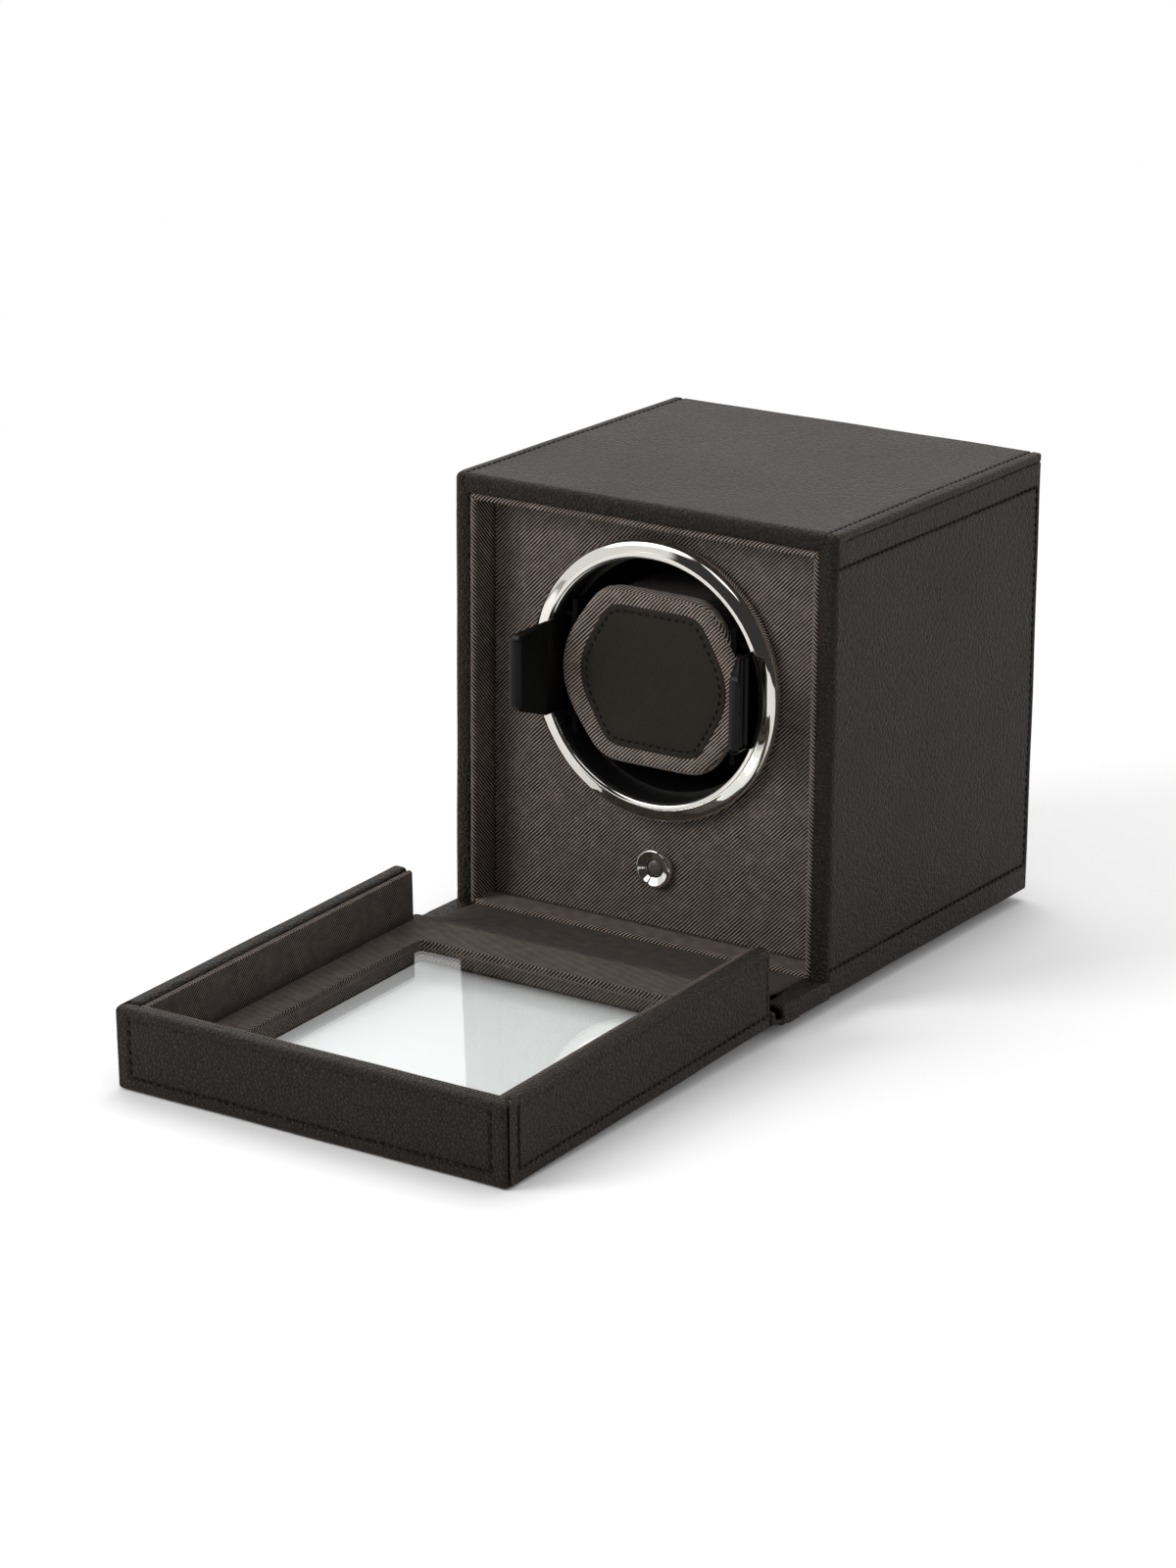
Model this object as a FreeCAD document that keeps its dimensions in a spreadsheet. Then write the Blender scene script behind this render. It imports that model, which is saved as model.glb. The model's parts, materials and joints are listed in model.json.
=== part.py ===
import FreeCAD, Part
import math
import os
from types import SimpleNamespace

import Sketcher

# A watch winder: a cube-shaped leather case with a glass cover that drops down in front.
# Inside the case a small geared motor turns a drum by a belt. The drum holds a padded
# cuff with a sprung grip wing on each side, and a push button sits below the drum.
#
# Two frames are used while modelling, both in millimetres.
# Case frame: X to the right, Y into the case from the plane of its front rim,
# Z up from the underside of the case's leather.
# Cover frame: the cover lying flat, with the hinge line at its origin, Y towards the
# case, so the cover itself has negative Y, and Z up from its underside.
# Each piece's Placement then carries its frame to the part's own frame, whose origin
# is on the table, below the middle of the whole part with its cover open.

SIZES = (
    ("case_width", 140.0, "case, over the leather"),
    ("case_depth", 130.0, "case, front rim to back"),
    ("leather", 1.0, "leather thickness"),
    ("board", 5.0, "top, side and back boards"),
    ("base_board", 4.5, "base board, which runs forward as the shelf"),
    ("edge_round", 2.2, "round on the outer leather edges"),
    ("top_lap", 4.2, "how far the top leather laps down the sides"),
    ("lap_groove", 0.4, "groove between that lap and the side leather"),
    ("lining", 2.2, "fabric-covered card inside the front opening"),
    ("lining_round", 1.0, "rolled front edge of that lining"),
    ("jamb_depth", 11.5, "front rim to the face of the front panel"),
    ("panel_board", 4.0, "front panel with its fabric"),
    ("seat_gap", 0.2, "gap round a panel in its frame"),
    ("batten", 8.0, "square corner battens behind the panel"),
    ("shelf_reach", 16.6, "shelf ahead of the rim"),
    ("shelf_strip", 7.0, "leather strips along the shelf's ends"),
    ("shelf_lining", 1.0, "fabric on the shelf"),
    ("foot_height", 3.5, "rubber feet"),
    ("foot_radius", 6.0, "rubber feet"),
    ("foot_inset", 16.0, "foot centre from the case's sides, front and back"),
    ("magnet_radius", 1.5, "closing magnets"),
    ("magnet_depth", 3.0, "closing magnets"),
    ("magnet_spread", 40.0, "closing magnets from the middle"),
    ("hinge_reach", 26.5, "hinge line ahead of the rim"),
    ("hinge_rise", 1.6, "hinge line above the case's underside"),
    ("closing_gap", 0.3, "gap at the rim when the cover is closed"),
    ("cover_board", 6.2, "cover board"),
    ("rail_card", 2.0, "fabric-covered card round the window"),
    ("rail_start", 2.6, "hinge line to the cover board"),
    ("hinge_rail", 19.8, "hinge line to the window"),
    ("window_rail", 12.0, "wall lining to the window"),
    ("wall_start", 5.7, "hinge line to the ends of the side walls"),
    ("wall_board", 3.5, "cover wall boards"),
    ("wall_lining", 2.0, "fabric-covered card inside the walls"),
    ("wall_lining_drop", 0.8, "that card's top below the wall's top"),
    ("glass", 2.0, "glass thickness"),
    ("glass_bite", 3.0, "glass behind the rail all round"),
    ("button_to_drum", 62.1, "button up to the drum's axis"),
    ("ring_headroom", 5.4, "ring to the top of the opening"),
    ("ring_overhang", 0.5, "ring opening beyond the collar's inside"),
    ("ring_inner_face", 2.2, "ring opening out to the ring's crest"),
    ("ring_outer_face", 3.5, "ring crest out to its largest radius"),
    ("ring_tuck", 1.3, "how far the ring's foot is tucked in"),
    ("ring_stand", 5.6, "ring crest ahead of the fabric"),
    ("ring_lip", 1.0, "thickness of the ring's inner lip"),
    ("collar_step", 1.2, "collar's inside beyond the drum's"),
    ("collar_wall", 1.7, "collar wall"),
    ("drum_setback", 5.7, "drum's front edge behind the fabric"),
    ("drum_depth", 40.0, "drum length"),
    ("cuff_room", 0.73638, "cuff cheeks to the inside of the drum"),
    ("drum_wall", 2.4, "drum wall"),
    ("drum_back", 3.0, "drum back wall"),
    ("drum_gap", 0.8, "running gap between drum and housing"),
    ("lip_gap", 0.3, "drum's front edge to the collar"),
    ("housing_wall", 2.2, "housing wall"),
    ("housing_back", 2.5, "housing back wall and mounting plates"),
    ("flange_reach", 4.5, "housing flange beyond the ring"),
    ("flange_edge", 2.7, "flange screws in from the flange's edge"),
    ("plate_half", 30.0, "half width of the housing's board plate"),
    ("plate_low", 14.0, "board plate above the case's underside"),
    ("lug_margin", 3.0, "motor lug round the gearbox"),
    ("boss_wall", 3.0, "boss wall round the bush"),
    ("spindle_radius", 3.0, "drum spindle"),
    ("bush_wall", 2.0, "bronze bush round the spindle"),
    ("bush_flange", 1.0, "bush flange thickness"),
    ("boss_length", 5.0, "housing boss round the bush"),
    ("running_fit", 0.05, "radial clearance of turning parts"),
    ("free_fit", 0.3, "clearance beside parts that move"),
    ("rib_start", 30.0, "front of the drum's ribs behind the rim plane"),
    ("rib_offset", 10.0, "ribs above and below the drum's axis"),
    ("rib_width", 4.0, "ribs that hold the cuff's cheeks"),
    ("pulley_radius", 20.0, "drum pulley, under the belt"),
    ("motor_pulley_radius", 6.0, "motor pulley, under the belt"),
    ("pulley_flange", 1.0, "pulley flange thickness"),
    ("pulley_rim", 2.2, "how far the pulley flanges stand up"),
    ("belt_width", 4.0, "flat drive belt"),
    ("belt_thickness", 1.2, "flat drive belt"),
    ("belt_gap", 0.15, "belt to its pulleys"),
    ("motor_side", 34.0, "motor shaft to the right of the middle"),
    ("motor_rise", 30.0, "motor shaft above the case's underside"),
    ("gearbox_radius", 12.5, "motor gearbox"),
    ("gearbox_length", 18.0, "motor gearbox"),
    ("motor_radius", 10.0, "motor can"),
    ("motor_length", 13.0, "motor can"),
    ("motor_shaft_radius", 2.0, "motor shaft"),
    ("motor_screw_spread", 8.5, "motor screws from its shaft"),
    ("button_rise", 27.3, "button above the case's underside"),
    ("button_radius", 3.3, "clear button cap"),
    ("button_crown", 1.1, "how far the cap's face is domed"),
    ("button_travel", 0.8, "button travel"),
    ("bezel_radius", 6.5, "chrome button bezel"),
    ("bezel_stand", 2.8, "bezel ahead of the fabric"),
    ("bezel_wall", 1.4, "bezel sleeve wall"),
    ("control_board", 1.6, "control board"),
    ("board_standoff", 8.5, "front panel's back to the control board"),
    ("board_left", 27.0, "control board to the left of the middle"),
    ("board_right", 19.0, "control board to the right of the middle"),
    ("board_half", 12.0, "half height of the control board"),
    ("board_screw_inset", 5.0, "board screws in from its edges"),
    ("socket_width", 10.0, "lead socket"),
    ("socket_height", 8.0, "lead socket"),
    ("socket_depth", 5.4, "lead socket, off the board"),
    ("socket_inset", 9.0, "lead socket in from the board's left edge"),
    ("chip_half", 4.0, "half the side of the controller chip"),
    ("chip_depth", 1.4, "controller chip, off the board"),
    ("capacitor_radius", 2.5, "capacitor"),
    ("capacitor_height", 7.0, "capacitor, off the board"),
    ("switch_plunger", 1.0, "plunger ahead of the push switch"),
    ("switch_height", 4.0, "push switch body"),
    ("inlet_radius", 5.5, "power inlet body"),
    ("inlet_flange", 8.0, "power inlet flange radius"),
    ("inlet_rise", 22.0, "power inlet above the case's underside"),
    ("inlet_length", 16.0, "power inlet, front to back"),
    ("inlet_wall", 2.0, "power inlet's inner walls"),
    ("lead_radius", 0.8, "motor and power leads"),
    ("lead_slack", 4.0, "motor leads ahead of the control board"),
    ("lead_entry", 16.0, "motor leads on the board, right of the middle"),
    ("lead_drop", 17.0, "power leads straight out of their socket"),
    ("lead_fall", 25.0, "power leads on down to the floor of the case"),
    ("lead_rest", 7.0, "power leads above the base board"),
    ("lead_rise", 24.0, "power leads' rise to the inlet, front to back"),
    ("cuff_overhang", 3.5, "cuff face plate beyond the cuff's body"),
    ("cuff_half_height", 28.5, "cuff face plate, middle to its top"),
    ("cuff_bulge", 3.5, "how far the sides bulge"),
    ("cuff_corner", 15.2, "cut of its corners at 45 degrees"),
    ("cuff_round", 4.0, "round on the corners that are left"),
    ("pad_side", 4.7, "leather pad in from the plate's sides"),
    ("pad_end", 5.1, "leather pad in from the plate's top and bottom"),
    ("pad_bulge", 2.8, "how far its sides bulge"),
    ("pad_corner", 11.2, "cut of its corners at 45 degrees"),
    ("cuff_plate", 3.0, "face plate thickness"),
    ("cuff_pad_leather", 1.0, "leather pad on the face plate"),
    ("cuff_front", 4.2, "rim plane to the face of the leather pad"),
    ("cuff_body_half", 28.5, "half width of the padded cuff body"),
    ("cuff_body_height", 55.0, "padded cuff body"),
    ("cuff_body_corner", 12.0, "cut of the padded body's corners"),
    ("cuff_bar_height", 32.0, "cuff core inside the padding"),
    ("cuff_cheek", 1.7, "cuff core cheeks beside the padding"),
    ("cuff_cheek_height", 44.0, "cuff core cheeks"),
    ("strap_gap", 9.5, "space behind the cuff for a strap"),
    ("grip_back", 12.0, "grip pins behind the rim plane"),
    ("grip_barrel", 1.9, "grip hinge barrel radius"),
    ("grip_flare", 7.7, "grip tips out from the grip pins"),
    ("grip_lead", 11.5, "grip tips ahead of the rim plane"),
    ("grip_blade", 1.7, "grip blade thickness at its root"),
    ("grip_tip", 3.0, "grip blade thickness at its tip"),
    ("grip_height", 30.8, "grip height at its root"),
    ("grip_tip_height", 24.0, "grip height at its tip"),
    ("grip_ear", 1.3, "ears that hold the grip pins"),
    ("pin_radius", 0.8, "grip pins"),
    ("screw_radius", 1.5, "screws"),
    ("screw_head", 2.7, "screw head radius"),
    ("screw_cap", 1.5, "screw head thickness"),
)


class Size:
    """A length written as an expression over the sheet's cells."""

    def __init__(self, text):
        self.text = str(text)

    def __add__(self, other):
        return Size(f"({self.text} + {text_of(other)})")

    def __sub__(self, other):
        return Size(f"({self.text} - {text_of(other)})")

    def __mul__(self, other):
        return Size(f"({self.text} * {text_of(other)})")

    def __truediv__(self, other):
        return Size(f"({self.text} / {text_of(other)})")

    def __neg__(self):
        return Size(f"(0 - {self.text})")

    def __radd__(self, other):
        return Size(f"({text_of(other)} + {self.text})")

    def __rsub__(self, other):
        return Size(f"({text_of(other)} - {self.text})")

    __rmul__ = __mul__


def text_of(value):
    """The expression text of a size or of a plain number."""
    return value.text if isinstance(value, Size) else repr(float(value))


def call(name, value):
    """A function of the expression language, such as sin, over a size."""
    return Size(f"{name}({text_of(value)})")


def number(value):
    """What a size comes to, in millimetres or degrees."""
    return float(sheet.evalExpression(text_of(value)))


os.makedirs("parts", exist_ok=True)
doc = FreeCAD.newDocument("watch_winder")

sheet = doc.addObject("Spreadsheet::Sheet", "sizes")
for row, (alias, length, note) in enumerate(SIZES, start=1):
    sheet.set(f"A{row}", note)
    sheet.set(f"B{row}", str(length))
    sheet.setAlias(f"B{row}", alias)
doc.recompute()

d = SimpleNamespace(**{alias: Size("sizes." + alias) for alias, length, note in SIZES})

# Sizes that follow from what they go round: the cuff sits in the drum, the drum in the
# collar, the ring over the collar, and the case over the ring.
d.drum_rise = d.button_rise + d.button_to_drum
d.cuff_half_width = d.cuff_body_half + d.cuff_overhang
d.pad_half_width = d.cuff_half_width - d.pad_side
d.pad_half_height = d.cuff_half_height - d.pad_end
d.grip_side = d.cuff_body_half + d.cuff_cheek + d.grip_barrel + d.free_fit
d.grip_spread = d.grip_side + d.grip_flare
cheek_side = d.cuff_body_half + d.cuff_cheek
cheek_end = d.cuff_cheek_height / 2
d.drum_bore = call("sqrt", cheek_side * cheek_side + cheek_end * cheek_end) + d.cuff_room
d.collar_radius = d.drum_bore + d.collar_step
d.ring_inner = d.collar_radius + d.ring_overhang
d.ring_crest = d.ring_inner + d.ring_inner_face
d.ring_outer = d.ring_crest + d.ring_outer_face
d.ring_foot = d.ring_outer - d.ring_tuck
d.flange_radius = d.ring_outer + d.flange_reach
d.flange_screws = d.flange_radius - d.flange_edge
d.case_height = d.drum_rise + d.ring_outer + d.ring_headroom + d.lining + d.board + d.leather

# Faces of the case that several pieces share, in the case frame.
half_width = d.case_width / 2
board_face = half_width - d.leather
inner_face = board_face - d.board
opening_side = inner_face - d.lining
top_face = d.case_height - d.leather
ceiling = top_face - d.board
opening_top = ceiling - d.lining
lap_end = d.case_height - d.top_lap
base_top = d.leather + d.base_board
shelf_top = base_top + d.shelf_lining
sill = base_top + d.lining
shelf_front = -d.shelf_reach
panel_face = d.jamb_depth
panel_rear = panel_face + d.panel_board
back_face = d.case_depth - d.leather
back_board_face = back_face - d.board
panel_side = inner_face - d.seat_gap
panel_low = base_top + d.seat_gap
panel_high = ceiling - d.seat_gap

# Faces of the cover, in the cover frame.
cover_length = d.case_height - d.hinge_rise
wall_height = d.hinge_reach - d.closing_gap
board_top = d.leather + d.cover_board
rail_top = board_top + d.rail_card
wall_inner = half_width - 2 * d.leather - d.wall_board
lining_inner = wall_inner - d.wall_lining
window_side = lining_inner - d.window_rail
near_inner = cover_length - 2 * d.leather - d.wall_board
near_lining = near_inner - d.wall_lining
window_near = near_lining - d.window_rail
glass_low = board_top - d.glass
magnet_line = cover_length - d.leather - d.wall_board / 2

# The open cover leans from its hinge line down to its near edge on the table.
cover_pitch = call("asin", (d.foot_height + d.hinge_rise) / cover_length)
cover_reach = (
    d.hinge_reach
    + (cover_length - d.edge_round) * call("cos", cover_pitch)
    + (wall_height - d.edge_round) * call("sin", cover_pitch)
    + d.edge_round
)
front_y = (cover_reach - d.case_depth) / 2

# Stations along the drum's axis, in the case frame.
drum_front = panel_face + d.drum_setback
drum_end = drum_front + d.drum_depth
drum_floor = drum_end - d.drum_back
housing_floor = drum_end + d.drum_gap
housing_end = housing_floor + d.housing_back
boss_end = housing_end + d.boss_length
pulley_front = boss_end + d.bush_flange + d.free_fit
pulley_width = d.belt_width + 2 * d.pulley_flange + 2 * d.free_fit
pulley_end = pulley_front + pulley_width
housing_radius = d.drum_bore + d.drum_wall + d.drum_gap
flange_end = panel_rear + d.housing_back
ring_recess = d.collar_radius + d.collar_wall + d.free_fit
bush_radius = d.spindle_radius + d.bush_wall
cuff_plate_front = d.cuff_front + d.cuff_pad_leather
cuff_plate_rear = cuff_plate_front + d.cuff_plate
cuff_body_end = drum_floor - d.strap_gap
board_front = panel_rear + d.board_standoff
switch_front = board_front - d.switch_height

AXIS_TURN = {
    "x": FreeCAD.Rotation(FreeCAD.Vector(0, 1, 0), 90),
    "y": FreeCAD.Rotation(FreeCAD.Vector(1, 0, 0), -90),
    "z": FreeCAD.Rotation(),
}
pieces = []


def place(item, home):
    """Carry a piece from the frame it was modelled in to the part's frame."""
    if home == "case":
        base = (0, front_y, d.foot_height)
    else:
        base = (0, front_y - d.hinge_reach, d.foot_height + d.hinge_rise)
        turn = FreeCAD.Rotation(FreeCAD.Vector(1, 0, 0), 1)
        item.Placement = FreeCAD.Placement(FreeCAD.Vector(), turn)
        item.setExpression("Placement.Rotation.Angle", cover_pitch.text)
    for axis, length in zip("xyz", base):
        item.setExpression(f"Placement.Base.{axis}", text_of(length))


def piece(label, home="case"):
    """A new body that becomes one node."""
    body = doc.addObject("PartDesign::Body", label)
    body.Label = label
    body.AllowCompound = True
    place(body, home)
    pieces.append(body)
    return body


def shaped(label, shape, home="case"):
    """A node whose shape comes straight from geometry functions."""
    item = doc.addObject("Part::Feature", label)
    item.Label = label
    item.Shape = shape
    place(item, home)
    pieces.append(item)
    return item


def primitive(body, kind, cut, sizes, position, turn=None):
    """Add a primitive to a body, or cut it away."""
    word = "Subtractive" if cut else "Additive"
    made = body.newObject(f"PartDesign::{word}{kind}", f"{body.Label}_{kind.lower()}")
    if turn:
        made.Placement = FreeCAD.Placement(FreeCAD.Vector(), turn)
    for name, length in sizes.items():
        made.setExpression(name, text_of(length))
    for axis, length in zip("xyz", position):
        made.setExpression(f"Placement.Base.{axis}", text_of(length))
    return made


def block(body, x, y, z, cut=False):
    """A block between pairs of faces."""
    sides = zip(("Length", "Width", "Height"), (x, y, z))
    sizes = {name: high - low for name, (low, high) in sides}
    return primitive(body, "Box", cut, sizes, [low for low, high in (x, y, z)])


def rod(body, radius, centre, start, end, axis="y", cut=False):
    """A cylinder along an axis, from start to end, round a centre in the other two axes."""
    position = dict(zip([a for a in "xyz" if a != axis], centre))
    position[axis] = start
    sizes = {"Radius": radius, "Height": end - start}
    spot = [position[a] for a in "xyz"]
    return primitive(body, "Cylinder", cut, sizes, spot, AXIS_TURN[axis])


def outline(body, plane, points, arcs=None, origin=(0, 0, 0)):
    """A closed sketch through points. arcs gives, for the side after a point, its radius
    and whether the arc's centre is to the left (1) or right (-1) of that side."""
    arcs = arcs or {}
    sketch = body.newObject("Sketcher::SketchObject", f"{body.Label}_outline")
    support = [f for f in body.Origin.OriginFeatures if f.Role == plane][0]
    sketch.AttachmentSupport = [(support, "")]
    sketch.MapMode = "FlatFace"
    for axis, length in zip("xyz", origin):
        sketch.setExpression(f"AttachmentOffset.Base.{axis}", text_of(length))
    spots = [FreeCAD.Vector(number(a), number(b), 0) for a, b in points]
    starts = []
    for index, spot in enumerate(spots):
        following = spots[(index + 1) % len(spots)]
        if index in arcs:
            radius, side = arcs[index]
            chord = following - spot
            rise = math.sqrt(number(radius) ** 2 - (chord.Length / 2) ** 2)
            left = FreeCAD.Vector(-chord.y, chord.x, 0).normalize()
            centre = (spot + following) * 0.5 + left * (rise * side)
            circle = Part.Circle(centre, FreeCAD.Vector(0, 0, 1), number(radius))
            ends = [math.atan2(p.y - centre.y, p.x - centre.x) for p in (spot, following)]
            if side < 0:
                ends.reverse()
            made = sketch.addGeometry(Part.ArcOfCircle(circle, ends[0], ends[1]))
            sketch.addConstraint(Sketcher.Constraint("Radius", made, number(radius)))
            sketch.setExpression(f"Constraints[{sketch.ConstraintCount - 1}]", text_of(radius))
            starts.append((made, 1, 2) if side > 0 else (made, 2, 1))
        else:
            made = sketch.addGeometry(Part.LineSegment(spot, following))
            starts.append((made, 1, 2))
    for index, (made, start, end) in enumerate(starts):
        other, other_start, other_end = starts[(index + 1) % len(starts)]
        sketch.addConstraint(Sketcher.Constraint("Coincident", made, end, other, other_start))
        for kind, length in zip(("DistanceX", "DistanceY"), points[index]):
            rule = Sketcher.Constraint(kind, -1, 1, made, start, number(length))
            sketch.addConstraint(rule)
            sketch.setExpression(f"Constraints[{sketch.ConstraintCount - 1}]", text_of(length))
    return sketch


def turned(body, points, centre, arcs=None):
    """A solid turned about an axis along Y. Points are along the axis and out from it."""
    sketch = outline(body, "YZ_Plane", points, arcs, origin=(0, centre[1], centre[0]))
    made = body.newObject("PartDesign::Revolution", f"{body.Label}_turned")
    made.Profile = sketch
    made.ReferenceAxis = (sketch, ["H_Axis"])
    made.Angle = 360
    return made


def plate(body, points, back, thickness, arcs=None, centre_z=0):
    """A plate with an outline in X and Z, from its back face towards the viewer."""
    sketch = outline(body, "XZ_Plane", points, arcs, origin=(0, centre_z, -back))
    made = body.newObject("PartDesign::Pad", f"{body.Label}_plate")
    made.Profile = sketch
    made.setExpression("Length", text_of(thickness))
    return made


def round_edges(body, radius, chosen):
    """Fillet the body's straight or curved edges that a test picks by their bounding box."""
    doc.recompute()
    base = body.Tip
    names = [f"Edge{n}" for n, e in enumerate(base.Shape.Edges, start=1) if chosen(e.BoundBox)]
    made = body.newObject("PartDesign::Fillet", f"{body.Label}_round")
    made.Base = (base, names)
    made.setExpression("Radius", text_of(radius))
    body.Tip = made
    return made


def near(value, target):
    """True when a measured coordinate is at a size."""
    return abs(value - number(target)) < 0.01


# The case: boards, leather, lining, front and back panels, battens, feet and magnets.

magnet_rise = d.hinge_rise + magnet_line


def make_boards():
    top = piece("top_board")
    block(top, (-board_face, board_face), (d.leather, back_face), (ceiling, top_face))
    for side in (-1, 1):
        rod(top, d.magnet_radius, (side * d.magnet_spread, magnet_rise),
            d.leather, d.leather + d.magnet_depth, cut=True)
    base = piece("base_board")
    block(base, (-board_face, board_face), (shelf_front + d.leather, back_face), (d.leather, base_top))
    left = piece("left_board")
    block(left, (-board_face, -inner_face), (d.leather, back_face), (base_top, ceiling))
    right = piece("right_board")
    block(right, (inner_face, board_face), (d.leather, back_face), (base_top, ceiling))


def make_top_leather():
    """Over the top board, down the rims in front and behind, and lapped over both sides."""
    skin = piece("top_leather")
    full = (-half_width, half_width)
    block(skin, full, (0, d.case_depth), (top_face, d.case_height))
    block(skin, full, (0, d.leather), (ceiling, d.case_height))
    block(skin, full, (back_face, d.case_depth), (ceiling, d.case_height))
    for x in ((-half_width, -board_face), (board_face, half_width)):
        block(skin, x, (0, d.case_depth), (lap_end, d.case_height))

    def outer(box):
        along_depth = box.YLength > number(d.case_depth) / 2
        on_top = near(box.ZMin, d.case_height)
        at_side = near(abs(box.XMin), half_width) and near(abs(box.XMax), half_width)
        front = near(box.YMax, 0) and on_top
        corner = at_side and near(box.YMax, 0) and box.ZLength > 1
        return (along_depth and on_top and at_side) or front or corner

    round_edges(skin, d.edge_round, outer)


def make_side_leather(label, side):
    """Over a side board and round onto the front and back rims."""
    skin = piece(label)
    outside = sorted((side * number(board_face), side * number(half_width)))
    low, high = (board_face, half_width) if side > 0 else (-half_width, -board_face)
    rim_low, rim_high = (inner_face, half_width) if side > 0 else (-half_width, -inner_face)
    block(skin, (low, high), (d.leather, back_face), (d.leather, lap_end - d.lap_groove))
    block(skin, (rim_low, rim_high), (0, d.leather), (base_top, ceiling))
    block(skin, (low, high), (0, d.leather), (d.leather, ceiling))
    block(skin, (rim_low, rim_high), (back_face, d.case_depth), (d.leather, ceiling))

    def outer(box):
        at_side = near(box.XMin, side * half_width) and near(box.XMax, side * half_width)
        at_end = near(box.YMax, 0) or near(box.YMin, d.case_depth)
        return at_side and at_end and box.ZLength > max(abs(v) for v in outside) / 2

    round_edges(skin, d.edge_round, outer)


def make_base_leather():
    """Under the base, up the back, and round the shelf's front and ends."""
    skin = piece("base_leather")
    full = (-half_width, half_width)
    block(skin, full, (shelf_front, d.case_depth), (0, d.leather))
    block(skin, full, (shelf_front, shelf_front + d.leather), (0, base_top))
    block(skin, (-inner_face, inner_face), (back_face, d.case_depth), (0, base_top))
    strip = half_width - d.shelf_strip
    for edge, rim in (((-half_width, -board_face), (-half_width, -strip)),
                      ((board_face, half_width), (strip, half_width))):
        block(skin, edge, (shelf_front, 0), (0, base_top))
        block(skin, rim, (shelf_front, 0), (base_top, shelf_top))


def make_linings():
    frame = piece("jamb_lining")
    block(frame, (-inner_face, inner_face), (0, panel_face), (base_top, ceiling))
    block(frame, (-opening_side, opening_side), (0, panel_face), (sill, opening_top), cut=True)

    def front_inner(box):
        flat = near(box.YMax, 0)
        upright = near(abs(box.XMin), opening_side) and near(abs(box.XMax), opening_side)
        level = near(box.ZMin, box.ZMax) and (near(box.ZMin, sill) or near(box.ZMin, opening_top))
        return flat and (upright or level)

    round_edges(frame, d.lining_round, front_inner)
    shelf = piece("shelf_lining")
    strip = half_width - d.shelf_strip
    block(shelf, (-strip, strip), (shelf_front, 0), (base_top, shelf_top))


def make_front_panel():
    panel = piece("front_panel")
    block(panel, (-panel_side, panel_side), (panel_face, panel_rear), (panel_low, panel_high))
    hole = d.collar_radius + d.collar_wall + d.free_fit
    rod(panel, hole, (0, d.drum_rise), panel_face, panel_rear, cut=True)
    rod(panel, bezel_sleeve + d.seat_gap, (0, d.button_rise), panel_face, panel_rear, cut=True)
    for x, z in flange_screw_spots():
        rod(panel, d.screw_radius, (x, z), panel_face + d.leather, panel_rear, cut=True)


def make_back_panel():
    board = piece("back_board")
    skin = piece("back_leather")
    for item, y in ((board, (back_board_face, back_face)), (skin, (back_face, d.case_depth))):
        block(item, (-panel_side, panel_side), y, (panel_low, panel_high))
    rod(board, d.inlet_radius + d.seat_gap, (0, d.inlet_rise), back_board_face, back_face, cut=True)
    flange_seat = d.case_depth - d.screw_cap
    for item in (board, skin):
        rod(item, d.inlet_flange + d.seat_gap, (0, d.inlet_rise), flange_seat, d.case_depth, cut=True)
    for x, z in batten_spots():
        rod(board, d.screw_radius + d.seat_gap, (x, z), back_board_face, back_face, cut=True)
        for item in (board, skin):
            rod(item, d.screw_head + d.seat_gap, (x, z), flange_seat, d.case_depth, cut=True)


def batten_spots():
    """Centres of the four corner battens in X and Z."""
    side = inner_face - d.batten / 2
    for z in (base_top + d.batten / 2, ceiling - d.batten / 2):
        for x in (-side, side):
            yield x, z


def make_battens():
    battens = piece("corner_battens")
    half = d.batten / 2
    for x, z in batten_spots():
        block(battens, (x - half, x + half), (panel_rear, back_board_face), (z - half, z + half))
    for x, z in batten_spots():
        rod(battens, d.screw_radius, (x, z), back_screw_end, back_board_face, cut=True)


def make_screws(label, spots, radius, seat, end, toward=-1):
    """Round-headed screws along Y. Their heads stand on the seat and the shanks go to end."""
    screws = piece(label)
    for x, z in spots:
        if toward < 0:
            rod(screws, radius, (x, z), end, seat)
            rod(screws, radius + (d.screw_head - d.screw_radius), (x, z), seat, seat + d.screw_cap)
        else:
            rod(screws, radius, (x, z), seat, end)
            rod(screws, radius + (d.screw_head - d.screw_radius), (x, z), seat - d.screw_cap, seat)
    return screws


def make_feet():
    feet = piece("feet")
    for side in (-1, 1):
        for y in (d.foot_inset, d.case_depth - d.foot_inset):
            x = side * (half_width - d.foot_inset)
            rod(feet, d.foot_radius, (x, y), -d.foot_height, 0, axis="z")


def make_magnets():
    magnets = piece("case_magnets")
    for side in (-1, 1):
        rod(magnets, d.magnet_radius, (side * d.magnet_spread, magnet_rise),
            d.leather, d.leather + d.magnet_depth)


# The front: chrome ring, button and its bezel.

bezel_sleeve = d.button_radius + 2 * d.running_fit + d.bezel_wall
bezel_end = panel_rear + d.leather / 2
cap_seat = bezel_end + d.seat_gap
cap_end = switch_front - d.switch_plunger - d.button_travel - d.seat_gap / 2


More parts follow.
